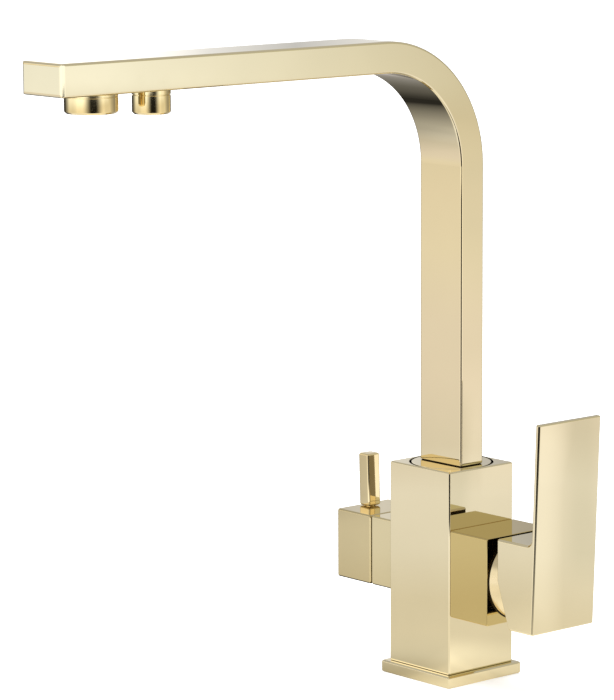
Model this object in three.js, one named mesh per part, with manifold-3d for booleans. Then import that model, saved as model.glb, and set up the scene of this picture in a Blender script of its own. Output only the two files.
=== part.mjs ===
// A three-way kitchen tap for hot, cold and filtered water, in square polished brass.
// Millimetres, +Z up. The origin is the centre of the base flange's underside, on the worktop.
// The spout points to -Y, the mixer lever is at +X and the filtered-water valve at -X.

import * as THREE from 'three';
import { mergeVertices } from 'three/addons/utils/BufferGeometryUtils.js';
import Module from 'manifold-3d';

const wasm = await Module();
wasm.setup();

// ---- Driving sizes -------------------------------------------------------------------------

// Clearances
const slip = 0.3;              // round pieces that slide or turn in a bore, each side
const seat = 0.1;              // flat faces that are clamped together
const edgeRound = 0.8;         // rounding of the polished outside edges
const cutOver = 2;             // how far a cutting tool runs past the face that it opens
const overlap = 1;             // how far joined pieces run into each other
const cornerShare = 1.3;       // an outline's corners are rounded this much more than its rims
const cornerRound = cornerShare * edgeRound;
const largeSides = 34;         // flats round the swivel foot, its socket and the dome

// Base and body
const bodyRim = 0.8;           // what is left of the body's top beside the swivel foot's well
const bodyTopZ = 111.7;
const flangeLedge = 3.25;
const flangeHeight = 6.2;
const shankRadius = 17.5;
const gasketInnerRadius = 19.7;
const gasketWidth = 2.6;
const gasketHeight = 1.8;

// Waterways inside the body
const portRadius = 4;
const portDepth = 18;
const portPitch = 10.2;
const channelRadius = 2.6;
const sideSocketDepth = 7.8;

// Fixing kit under the worktop
const worktopThickness = 30;
const studRadius = 3;
const studPitch = 12.6;
const studGrip = 14;
const studTail = 14;
const clampRadius = 26;
const clampSlotHalf = 6.5;
const clampSlotReach = 8;
const clampArcSteps = 16;
const clampRubberThickness = 3;
const clampPlateThickness = 2.5;
const nutAcrossFlats = 10;
const nutHeight = 12;

// Spout: a rectangular tube bent once
const spoutWidth = 31;
const spoutThickness = 15.8;
const spoutWall = 1.5;
const spoutTopZ = 331.4;
const spoutReach = 258.7;
const bendInnerRadius = 50;
const tipRound = 1.6;
const bendSteps = 36;          // flats in half a turn of a large bend

// Swivel foot of the spout
const discLedge = 3.1;
const discThickness = 3.7;
const discGap = 0.6;
const glideThickness = 0.7;
const spigotRadius = 18;
const spigotLength = 27;
const socketFloorGap = 1.6;
const sealSection = 2.4;
const sideSealSection = 1.8;
const sealSpacing = 8;
const sealRise = 5;
const sealSunk = 0.8;          // share of a seal's section that lies in its groove
const sealSides = 6;
const keeperGroove = 3.4;
const keeperRadius = 2.4;
const keeperDrop = 2;
const keeperTipRadius = 1.3;
const keeperTipReach = 1.7;
const mixedPassRadius = 3.3;
const mixedPassOffset = 10.2;

// Filtered water tube inside the spout
const innerTubeRadius = 4;
const innerTubeWall = 1;
const innerTubeInsert = 14;
const nippleRadius = 4.5;
const nippleHeight = 9;
const elbowSide = 12.6;
const elbowSocket = 3;
const innerTubeSides = 10;
const innerBendSteps = 10;

// Outlets under the tip
const aeratorOffset = 28.6;
const aeratorRadius = 12.7;
const aeratorHeight = 9.2;
const aeratorNeckRadius = 9.8;
const aeratorWall = 2;
const outletSpacing = 35.7;
const outletRadius = 9.25;
const outletHeight = 11.7;
const outletNeckRadius = 6.2;
const outletWall = 2.6;
const neckRise = 3;
const lipBevel = 0.9;
const insertRecess = 1;
const insertHeight = 4.4;
const jetRadius = 1;
const jetSides = 6;
const jetEdgeShare = 0.4;      // free edge outside the last ring of jets, as a share of the rings' spacing
const washerThickness = 1.4;
const washerWidth = 2;

// Mixer housing and the 35 mm cartridge in it
const mixerLength = 27.6;
const mixerHeight = 45;
const mixerAxisZ = 59.3;
const mixerSpigotRadius = 14.7;
const feedPitch = 9;
const cartridgeRadius = 17.5;
const cartridgeFloorDepth = 23.6;
const cartridgeShoulderDepth = 3.6;
const cartridgeNeckRadius = 15;
const cartridgeNeckRise = 0.9;
const cartridgeBoreRadius = 13.1;
const cartridgeBaseThickness = 2.4;
const baseSealThickness = 0.6;
const baseSealRim = 2;
const fixedDiscThickness = 2;
const movingDiscRadius = 10.4;
const movingDiscThickness = 4.4;
const mixingHollow = 1;
const turretRise = 2.4;
const pivotDepth = 10;
const pivotPinRadius = 1.5;
const stemSide = 8;
const stemTipSide = 6;
const stemTipLength = 3.2;
const stemTipDepth = 15;
const stemReach = 24;
const liftDegrees = 25;
const ringNutRadius = 18.8;
const ringNutRise = 1.2;
const ringNutNotch = 4;
const ringNutNotchDepth = 2;

// Polished dome over the cartridge
const brimRadius = 21.9;
const brimThickness = 0.8;
const neckGroove = 0.5;
const domeBaseRadius = 20.9;
const domeSphereRadius = 22.5;
const domeWall = 1.4;
const domeOpeningRadius = 15;
const skirtDepth = 1.5;
const skirtThickness = 0.7;

// Lever handle: a hollow hub and a tall plate in one piece
const hubGap = 6.1;
const hubRiseAbove = 23.8;
const hubDropBelow = 22.1;
const hubWall = 2.5;
const hubHeelCut = 8.1;
const hubHeelRise = 24.3;
const heelRound = 2.4;
const hubFillet = 3.4;
const leverWidth = 43.8;
const plateThickness = 3.2;
const hubReach = 31.8;
const plateTopZ = 144.6;
const plateLeanDegrees = 2.32;
const hubEndWall = 2;
const bossHalfWidth = 8;
const bossDrop = 10.5;
const bossStart = 9.4;
const setScrewRadius = 1.9;
const screwKeyDepth = 2;
const plugRadius = 3;

// Filtered-water valve: fixed block, quarter-turn cartridge, square knob and pin
const filterSide = 36.6;
const filterAxisZ = 60.8;
const filterBlockLength = 19.1;
const filterSpigotRadius = 13;
const filterPassOffset = 6;
const filterChamberDepth = 15;
const headworkRadius = 9;
const headworkFlangeRadius = 11.6;
const headworkFlangeThickness = 3.4;
const headworkNeckRadius = 6.4;
const headworkNeckLength = 5.4;
const spindleRadius = 4;
const spindleInside = 7;
const spindleReach = 16.4;
const knobGap = 0.7;
const knobLength = 26.1;
const knobRecessRadius = 13.5;
const knobRecessDepth = 8;
const pinSide = 8;
const pinLength = 28;
const pinInset = 6.1;
const pinLeanDegrees = 2.6;
const pinTwistDegrees = 4.5;
const pinTailRadius = 2.4;
const pinTailLength = 6;
const pinFootGap = 0.35;
const pinTailSides = 16;

// ---- Places worked out from the sizes ------------------------------------------------------

const discRadius = spigotRadius + discLedge;
const bodyHalf = discRadius + discGap + bodyRim;
const flangeHalf = bodyHalf + flangeLedge;
const bodyBottomZ = flangeHeight + seat;
const mixerEndX = bodyHalf + mixerLength;
const filterEndX = -bodyHalf - filterBlockLength;
const knobStartX = filterEndX - knobGap;
const knobEndX = knobStartX - knobLength;
const spoutAxisZ = spoutTopZ - spoutThickness / 2;
const spoutBottomZ = spoutTopZ - spoutThickness;
const aeratorY = -spoutReach + aeratorOffset;
const outletY = aeratorY + outletSpacing;
const pivotX = mixerEndX - pivotDepth;
const discBottomZ = bodyTopZ - discThickness;
const glideFloorZ = discBottomZ - glideThickness - 2 * seat;
const spigotBottomZ = discBottomZ - spigotLength;
const socketFloorZ = spigotBottomZ - socketFloorGap;
const keeperZ = discBottomZ - keeperGroove / 2 - keeperDrop;
const clampTopZ = -worktopThickness;
const studTopZ = studGrip;
const hubBackX = mixerEndX + hubGap;
const plateFootX = mixerEndX + hubReach;
const hubTopZ = mixerAxisZ + hubRiseAbove;
const hubBottomZ = mixerAxisZ - hubDropBelow;
const plateLean = Math.tan(THREE.MathUtils.degToRad(plateLeanDegrees));

// ---- Finishes ------------------------------------------------------------------------------

const finish = (name, color, roughness, metalness) =>
  Object.assign(new THREE.MeshStandardMaterial({ color, roughness, metalness }), { name });

const finishes = {
  gold: () => finish('polished_gold', 0xe6d3a0, 0.06, 1),
  brass: () => finish('raw_brass', 0xc2a05a, 0.35, 1),
  steel: () => finish('plain_steel', 0xb9bcc0, 0.3, 1),
  rubber: () => finish('black_rubber', 0x1c1c1d, 0.8, 0),
  whitePlastic: () => finish('white_plastic', 0xe9e9e4, 0.4, 0),
  greyPlastic: () => finish('grey_plastic', 0x6f747a, 0.45, 0),
  ceramic: () => finish('ceramic', 0xf2f0ea, 0.15, 0),
};

// ---- Geometry helpers ----------------------------------------------------------------------

// A closed three.js geometry as a solid that can be joined and cut.
function solid(geometry) {
  const bare = new THREE.BufferGeometry();
  bare.setAttribute('position', geometry.getAttribute('position').clone());
  if (geometry.index) bare.setIndex(geometry.index.clone());
  const welded = mergeVertices(bare, 1e-4);
  const mesh = new wasm.Mesh({
    numProp: 3,
    vertProperties: Float32Array.from(welded.getAttribute('position').array),
    triVerts: Uint32Array.from(welded.index.array),
  });
  mesh.merge();
  return new wasm.Manifold(mesh);
}

function geometryOf(body) {
  const mesh = body.getMesh();
  const geometry = new THREE.BufferGeometry();
  geometry.setAttribute('position', new THREE.BufferAttribute(mesh.vertProperties, 3));
  geometry.setIndex(new THREE.BufferAttribute(mesh.triVerts, 1));
  geometry.computeVertexNormals();
  return geometry;
}

const join = (...bodies) => bodies.reduce((all, next) => all.add(next));
const cut = (body, ...tools) => tools.reduce((rest, tool) => rest.subtract(tool), body);

// Enough sides for a round of this radius.
const sidesOf = (radius) => (radius > 12 ? 24 : radius > 6 ? 18 : radius > 2.8 ? 12 : 8);

function box([x0, x1], [y0, y1], [z0, z1]) {
  const geometry = new THREE.BoxGeometry(x1 - x0, y1 - y0, z1 - z0);
  return solid(geometry.translate((x0 + x1) / 2, (y0 + y1) / 2, (z0 + z1) / 2));
}

// A round bar along one axis from one place to another, centred on the other two coordinates.
function bar(axis, radius, from, to, centre, sides = sidesOf(radius)) {
  const low = Math.min(from, to);
  const high = Math.max(from, to);
  const geometry = new THREE.CylinderGeometry(radius, radius, high - low, sides);
  const middle = (low + high) / 2;
  if (axis === 'x') geometry.rotateZ(Math.PI / 2).translate(middle, centre[0], centre[1]);
  if (axis === 'y') geometry.translate(centre[0], middle, centre[1]);
  if (axis === 'z') geometry.rotateX(Math.PI / 2).translate(centre[0], centre[1], middle);
  return solid(geometry);
}

// A profile of [radius, place] pairs, turned about Z, X or -X through a centre.
function turned(axis, profile, centre, sides) {
  const widest = Math.max(...profile.map(([radius]) => radius));
  const points = profile.map(([radius, place]) => new THREE.Vector2(radius, place));
  const closed = profile[0][0] === 0 && profile.at(-1)[0] === 0;
  if (!closed) points.push(points[0].clone());
  const geometry = new THREE.LatheGeometry(points, sides ?? sidesOf(widest));
  if (axis === 'z') geometry.rotateX(Math.PI / 2).translate(centre[0], centre[1], 0);
  if (axis === 'x') geometry.rotateZ(-Math.PI / 2).translate(0, centre[0], centre[1]);
  return solid(geometry);
}

// A ring of round section: an O-ring.
function sealRing(axis, innerRadius, section, place, centre) {
  const middle = innerRadius + section / 2;
  const profile = Array.from({ length: sealSides }, (_, i) => {
    const angle = (i * 2 * Math.PI) / sealSides;
    return [middle + (section / 2) * Math.cos(angle), place + (section / 2) * Math.sin(angle)];
  });
  return turned(axis, profile, centre);
}

// Enough steps for an arc of this radius through this angle.
const stepsOf = (radius, angle) => Math.ceil((angle / Math.PI) * (radius > 10 ? bendSteps : 4));

// An outline through [x, y, radius] corners, each rounded by an arc where its radius isn't 0.
function roundedOutline(corners) {
  const points = corners.flatMap(([x, y, radius], i) => {
    const corner = new THREE.Vector2(x, y);
    if (radius === 0) return [corner];
    const towards = (other) => new THREE.Vector2(other[0], other[1]).sub(corner).normalize();
    const back = towards(corners.at(i - 1));
    const ahead = towards(corners[(i + 1) % corners.length]);
    const halfAngle = Math.acos(back.dot(ahead)) / 2;
    const middle = back.clone().add(ahead).normalize();
    const centre = corner.clone().addScaledVector(middle, radius / Math.sin(halfAngle));
    const start = corner.clone().addScaledVector(back, radius / Math.tan(halfAngle)).sub(centre);
    const turn = Math.PI - 2 * halfAngle;
    const way = back.cross(ahead) > 0 ? -1 : 1;
    const steps = stepsOf(radius, turn);
    return Array.from({ length: steps + 1 }, (_, k) => start.clone()
      .rotateAround(new THREE.Vector2(), (way * turn * k) / steps)
      .add(centre));
  });
  return new THREE.Shape(points);
}

const roundedRectangle = (width, height, radius) => roundedOutline(
  [[-1, -1], [1, -1], [1, 1], [-1, 1]].map(([x, y]) => [(x * width) / 2, (y * height) / 2, radius]),
);

// An outline pushed along its normal by length, with its rims rounded and its size kept.
function pushed(shape, length, round) {
  return new THREE.ExtrudeGeometry(shape, {
    depth: length - 2 * round,
    steps: 1,
    bevelEnabled: round > 0,
    bevelThickness: round,
    bevelSize: round,
    bevelOffset: -round,
    bevelSegments: 2,
  }).translate(0, 0, round);
}

// A block with all its edges rounded, spanning [x0, x1], [y0, y1] and [z0, z1].
function roundedBlock([x0, x1], [y0, y1], [z0, z1], round = edgeRound) {
  const geometry = pushed(roundedRectangle(x1 - x0, y1 - y0, cornerShare * round), z1 - z0, round);
  return solid(geometry.translate((x0 + x1) / 2, (y0 + y1) / 2, z0));
}

// ---- Base and fixing kit -------------------------------------------------------------------

function baseFlange() {
  const half = flangeHalf;
  const grooveInner = gasketInnerRadius - slip;
  const grooveOuter = gasketInnerRadius + gasketWidth + slip;
  const grooveTop = gasketHeight + seat;
  const groove = turned('z', [
    [grooveInner, -cutOver], [grooveOuter, -cutOver], [grooveOuter, grooveTop], [grooveInner, grooveTop],
  ], [0, 0]);
  return cut(
    roundedBlock([-half, half], [-half, half], [0, flangeHeight]),
    bar('z', shankRadius + slip, -cutOver, flangeHeight + cutOver, [0, 0]),
    groove,
  );
}

function baseGasket() {
  const outer = gasketInnerRadius + gasketWidth;
  return turned('z', [
    [gasketInnerRadius, 0], [outer, 0], [outer, gasketHeight], [gasketInnerRadius, gasketHeight],
  ], [0, 0]);
}

const stud = (side) => bar('z', studRadius, clampTopZ - clampRubberThickness - clampPlateThickness
  - nutHeight - studTail, studTopZ, [side * studPitch, 0]);

// The horseshoe outline of the clamp, open towards +Y for the three hoses.
function clampOutline() {
  const shape = new THREE.Shape();
  const open = Math.asin(clampSlotHalf / clampRadius);
  shape.absarc(0, 0, clampRadius, Math.PI / 2 + open, Math.PI / 2 - open + 2 * Math.PI);
  shape.lineTo(clampSlotHalf, -clampSlotReach);
  shape.absarc(0, -clampSlotReach, clampSlotHalf, 0, -Math.PI, true);
  return shape;
}

function clampPiece(topZ, thickness) {
  const geometry = new THREE.ExtrudeGeometry(clampOutline(), {
    depth: thickness, bevelEnabled: false, curveSegments: clampArcSteps,
  });
  const hole = (side) => bar('z', studRadius + slip, topZ - thickness - cutOver, topZ + cutOver,
    [side * studPitch, 0]);
  return cut(solid(geometry.translate(0, 0, topZ - thickness)), hole(-1), hole(1));
}

function studNut(side) {
  const topZ = clampTopZ - clampRubberThickness - clampPlateThickness - 2 * seat;
  const centre = [side * studPitch, 0];
  const hex = bar('z', nutAcrossFlats / 2 / Math.cos(Math.PI / 6), topZ - nutHeight, topZ, centre, 6);
  return cut(hex, bar('z', studRadius + slip, topZ - nutHeight - cutOver, topZ + cutOver, centre));
}

// ---- Body ----------------------------------------------------------------------------------

function bodyColumn() {
  const half = bodyHalf;
  const shell = join(
    roundedBlock([-half, half], [-half, half], [bodyBottomZ, bodyTopZ]),
    bar('z', shankRadius, gasketHeight / 2, bodyBottomZ + overlap, [0, 0]),
  );
  const socket = turned('z', [
    [0, socketFloorZ],
    [spigotRadius + slip, socketFloorZ],
    [spigotRadius + slip, glideFloorZ],
    [discRadius + discGap, glideFloorZ],
    [discRadius + discGap, bodyTopZ + cutOver],
    [0, bodyTopZ + cutOver],
  ], [0, 0], largeSides);
  const nipple = bar('z', nippleRadius, socketFloorZ - overlap, socketFloorZ + nippleHeight, [0, 0]);
  const mixerSocketX = half - sideSocketDepth;
  const filterSocketX = -half + sideSocketDepth;
  const mixerSocket = bar('x', mixerSpigotRadius + slip, mixerSocketX, half + cutOver, [0, mixerAxisZ]);
  const filterSocket = bar('x', filterSpigotRadius + slip, filterSocketX, -half - cutOver,
    [0, filterAxisZ]);

  const ports = [-portPitch, 0, portPitch].map((y) => bar('z', portRadius, -cutOver, portDepth, [0, y]));
  const feeds = [-feedPitch, feedPitch].flatMap((y) => [
    bar('z', channelRadius, portDepth - overlap, mixerAxisZ + channelRadius, [0, y]),
    bar('x', channelRadius, 0, mixerSocketX + overlap, [y, mixerAxisZ]),
  ]);
  const mixedZ = mixerAxisZ + feedPitch;
  const mixedOut = [
    bar('x', channelRadius, feedPitch - channelRadius, mixerSocketX + overlap, [0, mixedZ]),
    bar('z', channelRadius, mixedZ, socketFloorZ + overlap, [feedPitch, 0]),
  ];
  const filterInZ = filterAxisZ - filterPassOffset;
  const filterOutZ = filterAxisZ + filterPassOffset;
  const filtered = [
    bar('z', channelRadius, portDepth - overlap, filterInZ + channelRadius, [0, 0]),
    bar('x', channelRadius, 0, filterSocketX - overlap, [0, filterInZ]),
    bar('x', channelRadius, channelRadius, filterSocketX - overlap, [0, filterOutZ]),
    bar('z', channelRadius, filterOutZ, socketFloorZ + nippleHeight + cutOver, [0, 0]),
  ];
  const studHole = (side) => bar('z', studRadius + slip, -cutOver, studTopZ + seat, [side * studPitch, 0]);
  const keeperHole = bar('y', keeperRadius + slip, 0, half + cutOver, [0, keeperZ]);

  return cut(
    join(cut(shell, socket), nipple),
    mixerSocket, filterSocket, ...ports, ...feeds, ...mixedOut, ...filtered,
    studHole(-1), studHole(1), cut(keeperHole, bar('z', spigotRadius, 0, bodyTopZ, [0, 0])),
  );
}

// ---- Spout ---------------------------------------------------------------------------------

// The spout seen from the side, as an outline inset by a wall. Shape x is -Y of the tap, shape y is Z.
function spoutOutline(inset, footZ, endRound) {
  const half = spoutThickness / 2 - inset;
  const tip = spoutReach - inset;
  return roundedOutline([
    [-half, footZ, 0],
    [half, footZ, 0],
    [half, spoutAxisZ - half, bendInnerRadius + inset],
    [tip, spoutAxisZ - half, endRound],
    [tip, spoutAxisZ + half, endRound],
    [-half, spoutAxisZ + half, bendInnerRadius + spoutThickness - inset],
  ]);
}

// Turns an outline pushed along Z so that it stands in the tap's YZ plane, centred on X = 0.
const uprightAlongX = (geometry, width) => geometry
  .translate(0, 0, -width / 2)
  .rotateX(Math.PI / 2)
  .rotateZ(-Math.PI / 2);

function spoutTube() {
  const footZ = bodyTopZ + seat;
  const outside = uprightAlongX(
    pushed(spoutOutline(0, footZ - edgeRound, tipRound), spoutWidth, edgeRound), spoutWidth,
  );
  const innerWidth = spoutWidth - 2 * spoutWall;
  const inside = uprightAlongX(
    pushed(spoutOutline(spoutWall, footZ - cutOver, spoutWall / 2), innerWidth, 0), innerWidth,
  );
  const reach = spoutWidth;
  const belowFoot = box([-reach, reach], [-reach, reach], [footZ - 2 * cutOver, footZ]);
  const wall = [spoutBottomZ - cutOver, spoutBottomZ + spoutWall + seat];
  return cut(
    solid(outside), solid(inside), belowFoot,
    bar('z', aeratorNeckRadius + slip, ...wall, [0, aeratorY]),
    bar('z', outletNeckRadius + slip, ...wall, [0, outletY]),
  );
}

function sealGrooves() {
  const inner = spigotRadius - sealSunk * sealSection;
  const outer = spigotRadius + cutOver;
  return [0, 1].map((i) => {
    const z = spigotBottomZ + sealRise + i * sealSpacing;
    const half = sealSection / 2 + slip;
    return turned('z', [[inner, z - half], [outer, z - half], [outer, z + half], [inner, z + half]], [0, 0]);
  });
}

function spoutFoot() {
  const body = turned('z', [
    [0, spigotBottomZ],
    [spigotRadius - edgeRound, spigotBottomZ],
    [spigotRadius, spigotBottomZ + edgeRound],
    [spigotRadius, discBottomZ],
    [discRadius, discBottomZ],
    [discRadius, bodyTopZ - slip],
    [discRadius - slip, bodyTopZ],
    [0, bodyTopZ],
  ], [0, 0], largeSides);
  const keeperInner = spigotRadius - keeperTipReach - slip;
  const keeperRing = turned('z', [
    [keeperInner, keeperZ - keeperGroove / 2],
    [spigotRadius + cutOver, keeperZ - keeperGroove / 2],
    [spigotRadius + cutOver, keeperZ + keeperGroove / 2],
    [keeperInner, keeperZ + keeperGroove / 2],
  ], [0, 0]);
  const tubeEndZ = bodyTopZ - innerTubeInsert;
  const passes = [-mixedPassOffset, mixedPassOffset].map((x) => bar('z', mixedPassRadius,
    spigotBottomZ - cutOver, bodyTopZ + cutOver, [x, 0]));
  return cut(
    body, keeperRing, ...sealGrooves(), ...passes,
    bar('z', innerTubeRadius + slip, tubeEndZ, bodyTopZ + cutOver, [0, 0]),
    bar('z', nippleRadius + slip, spigotBottomZ - cutOver, socketFloorZ + nippleHeight + slip, [0, 0]),
    bar('z', innerTubeRadius - innerTubeWall, socketFloorZ, bodyTopZ, [0, 0]),
  );
}

function spoutSeal(index) {
  const z = spigotBottomZ + sealRise + index * sealSpacing;
  const section = sealSunk * sealSection - slip / 2;
  return sealRing('z', spigotRadius - section, section, z, [0, 0]);
}

function glideRing() {
  const low = glideFloorZ + seat;
  const high = low + glideThickness;
  return turned('z', [
    [spigotRadius + slip, low], [discRadius, low], [discRadius, high], [spigotRadius + slip, high],
  ], [0, 0]);
}

function spoutKeeper() {
  const outerY = bodyHalf - edgeRound / 2;
  const shoulderY = spigotRadius + slip;
  const tipY = spigotRadius - keeperTipReach;
  const key = bar('y', keeperRadius / 2, outerY - keeperRadius, outerY + cutOver, [0, keeperZ], 6);
  return cut(join(
    bar('y', keeperRadius, shoulderY, outerY, [0, keeperZ]),
    bar('y', keeperTipRadius, tipY, shoulderY + seat, [0, keeperZ]),
  ), key);
}

// The filtered water runs in its own tube up the column, round the bend and along the arm.
function filteredTube() {
  const radius = bendInnerRadius + spoutThickness / 2;
  const bendZ = spoutAxisZ - radius;
  const footZ = bodyTopZ - innerTubeInsert + slip;
  const tipY = outletY + elbowSide / 2 - elbowSocket;
  const ring = (size) => Array.from({ length: innerTubeSides }, (_, i) => {
    const angle = (i * 2 * Math.PI) / innerTubeSides;
    return new THREE.Vector2(size * Math.cos(angle), size * Math.sin(angle));
  });
  const section = new THREE.Shape(ring(innerTubeRadius));
  section.holes.push(new THREE.Path(ring(innerTubeRadius - innerTubeWall).reverse()));
  const corner = Array.from({ length: innerBendSteps + 1 }, (_, i) => {
    const angle = (i / innerBendSteps) * (Math.PI / 2);
    return new THREE.Vector3(0, -radius + radius * Math.cos(angle), bendZ + radius * Math.sin(angle));
  });
  const stops = [new THREE.Vector3(0, 0, footZ), ...corner, new THREE.Vector3(0, tipY, spoutAxisZ)];
  return solid(sweptAlong(section, stops));
}

// A section with one hole swept along straight stretches, mitred at each stop in the YZ plane.
function sweptAlong(section, stops) {
  const outer = section.getPoints();
  const inner = section.holes[0].getPoints();
  const across = new THREE.Vector3(1, 0, 0);
  const rings = stops.map((stop, i) => {
    const before = stops[Math.max(i - 1, 0)];
    const after = stops[Math.min(i + 1, stops.length - 1)];
    const normal = after.clone().sub(before).cross(across).normalize();
    const place = (point) => stop.clone().addScaledVector(across, point.x).addScaledVector(normal, point.y);
    return [...outer.map(place), ...inner.map(place)];
  });
  const count = rings[0].length;
  const sides = outer.length;
  const positions = rings.flat().flatMap((point) => point.toArray());
  const index = [];
  const quad = (a, b, c, d) => index.push(a, b, c, a, c, d);
  rings.slice(1).forEach((_, i) => {
    const low = i * count;
    const high = low + count;
    for (let k = 0; k < sides; k += 1) {
      const next = (k + 1) % sides;
      quad(low + k, low + next, high + next, high + k);
      quad(low + sides + k, low + sides + next, high + sides + next, high + sides + k);
    }
  });
  const last = (rings.length - 1) * count;
  for (let k = 0; k < sides; k += 1) {
    const next = (k + 1) % sides;
    const innerAt = (j) => sides + ((sides - j) % sides);
    quad(k, innerAt(k), innerAt(next), next);
    quad(last + k, last + next, last + innerAt(next), last + innerAt(k));
  }
  const geometry = new THREE.BufferGeometry();
  geometry.setAttribute('position', new THREE.Float32BufferAttribute(positions, 3));
  geometry.setIndex(index);
  return geometry;
}

function filteredElbow() {
  const half = elbowSide / 2;
  const neckTopZ = spoutBottomZ + neckRise;
  const socketY = outletY + half - elbowSocket - slip;
  const block = roundedBlock([-half, half], [outletY - half, outletY + half],
    [neckTopZ + slip, spoutTopZ - spoutWall - slip], edgeRound / 2);
  return cut(
    block,
    bar('y', innerTubeRadius + slip, socketY, outletY + half + cutOver, [0, spoutAxisZ]),
    bar('y', channelRadius, outletY, outletY + half, [0, spoutAxisZ]),
    bar('z', channelRadius, neckTopZ - cutOver, spoutAxisZ, [0, outletY]),
  );
}

// ---- Outlets -------------------------------------------------------------------------------

// A round outlet under the arm: a neck through the arm's wall and a bevelled cup below it.
function outletHousing(y, radius, height, neckRadius, wall, passRadius) {
  const topZ = spoutBottomZ - seat;
  const lowZ = topZ - height;
  const cupRadius = radius - wall;
  const shelfZ = lowZ + insertRecess + insertHeight + washerThickness + 2 * seat;
  return turned('z', [
    [cupRadius, lowZ],
    [radius - lipBevel, lowZ],
    [radius, lowZ + lipBevel],
    [radius, topZ - 2 * seat],
    [radius - 2 * seat, topZ],
    [neckRadius, topZ],
    [neckRadius, spoutBottomZ + neckRise],
    [passRadius, spoutBottomZ + neckRise],
    [passRadius, shelfZ],
    [cupRadius, shelfZ],
  ], [0, y]);
}

// The insert in an outlet: a disc with rings of jets.
function outletInsert(y, radius, height, wall, rings) {
  const lowZ = spoutBottomZ - seat - height + insertRecess;
  const cup = radius - wall - slip;
  const jets = Array.from({ length: rings + 1 }, (_, ring) => {
    const count = ring === 0 ? 1 : ring * jetSides;
    return Array.from({ length: count }, (__, i) => {
      const angle = (i * 2 * Math.PI) / count;
      const out = ((cup - jetRadius) * ring) / (rings + jetEdgeShare);
      return bar('z', jetRadius, lowZ - cutOver, lowZ + insertHeight + cutOver,
        [out * Math.cos(angle), y + out * Math.sin(angle)], jetSides);
    });
  }).flat();
  return cut(bar('z', cup, lowZ, lowZ + insertHeight, [0, y]), ...jets);
}

function outletWasher(y, radius, height, wall) {
  const lowZ = spoutBottomZ - seat - height + insertRecess + insertHeight + seat;
  const cup = radius - wall - slip;
  return turned('z', [
    [cup - washerWidth, lowZ],
    [cup, lowZ],
    [cup, lowZ + washerThickness],
    [cup - washerWidth, lowZ + washerThickness],
  ], [0, y]);
}

// ---- Mixer ---------------------------------------------------------------------------------

const mixerCentre = [0, mixerAxisZ];
const cartridgeFloorX = mixerEndX - cartridgeFloorDepth;
const cartridgeBackX = cartridgeFloorX + baseSealThickness + 2 * seat;
const shoulderX = mixerEndX - cartridgeShoulderDepth;
const discFloorX = cartridgeBackX + cartridgeBaseThickness;
const movingDiscX = discFloorX + fixedDiscThickness + 2 * seat;
const turretBackX = movingDiscX + movingDiscThickness + slip;

// The three ways through the valve's foot: cold, hot, and the mixed water above them.
const mixerWays = (from, to, radius = channelRadius) => [
  [-feedPitch, 0], [feedPitch, 0], [0, feedPitch],
].map(([y, rise]) => bar('x', radius, from, to, [y, mixerAxisZ + rise]));

function mixerHousing() {
  const startX = bodyHalf + seat;
  const spigotX = bodyHalf - sideSocketDepth + slip;
  const half = mixerHeight / 2;
  const block = join(
    roundedBlock([startX, mixerEndX], [-bodyHalf, bodyHalf], [mixerAxisZ - half, mixerAxisZ + half]),
    bar('x', mixerSpigotRadius, spigotX, startX + overlap, mixerCentre),
  );
  const outer = mixerEndX + cutOver;
  const skirtRadius = ringNutRadius + slip + skirtThickness + slip;
  return cut(
    block,
    bar('x', cartridgeRadius + slip, cartridgeFloorX, outer, mixerCentre),
    bar('x', ringNutRadius + slip, shoulderX, outer, mixerCentre),
    bar('x', skirtRadius, mixerEndX - skirtDepth - slip, outer, mixerCentre),
    sideSealGroove(mixerSpigotRadius, bodyHalf - sideSocketDepth / 2, mixerCentre),
    ...mixerWays(spigotX - cutOver, cartridgeFloorX + overlap),
  );
}

function sideSealGroove(radius, x, centre) {
  const half = sideSealSection / 2 + slip;
  const inner = radius - sideSealSection;
  return turned('x', [
    [inner, x - half], [radius + cutOver, x - half], [radius + cutOver, x + half], [inner, x + half],
  ], centre);
}

const sideSeal = (radius, x, centre) =>
  sealRing('x', radius - sideSealSection + slip / 2, sideSealSection, x, centre);

function mixerBaseSeal() {
  const low = cartridgeFloorX + seat;
  return cut(
    bar('x', feedPitch + channelRadius + baseSealRim, low, low + baseSealThickness, mixerCentre),
    ...mixerWays(low - cutOver, low + cutOver),
  );
}

function cartridgeBody() {
  const neckX = mixerEndX + cartridgeNeckRise;
  return cut(
    join(
      bar('x', cartridgeRadius, cartridgeBackX, shoulderX, mixerCentre),
      bar('x', cartridgeNeckRadius, shoulderX - overlap, neckX, mixerCentre),
    ),
    bar('x', cartridgeBoreRadius, discFloorX, neckX + cutOver, mixerCentre),
    ...mixerWays(cartridgeBackX - cutOver, discFloorX + overlap),
  );
}

const fixedDisc = () => cut(
  bar('x', cartridgeBoreRadius - slip, discFloorX + seat, discFloorX + seat + fixedDiscThickness,
    mixerCentre),
  ...mixerWays(discFloorX - cutOver, discFloorX + fixedDiscThickness + cutOver),
);

// The sliding disc has a mixing hollow towards the fixed disc and a pocket for the stem's tip.
function movingDisc() {
  const half = stemTipSide / 2 + 2 * slip;
  const z = mixerAxisZ;
  const frontX = movingDiscX + movingDiscThickness;
  return cut(
    bar('x', movingDiscRadius, movingDiscX, frontX, mixerCentre),
    box([frontX - stemTipLength + 2 * slip, frontX + cutOver], [-half, half], [z - half, z + half]),
    bar('x', movingDiscRadius / 2, movingDiscX - cutOver, movingDiscX + mixingHollow, mixerCentre),
  );
}

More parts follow.
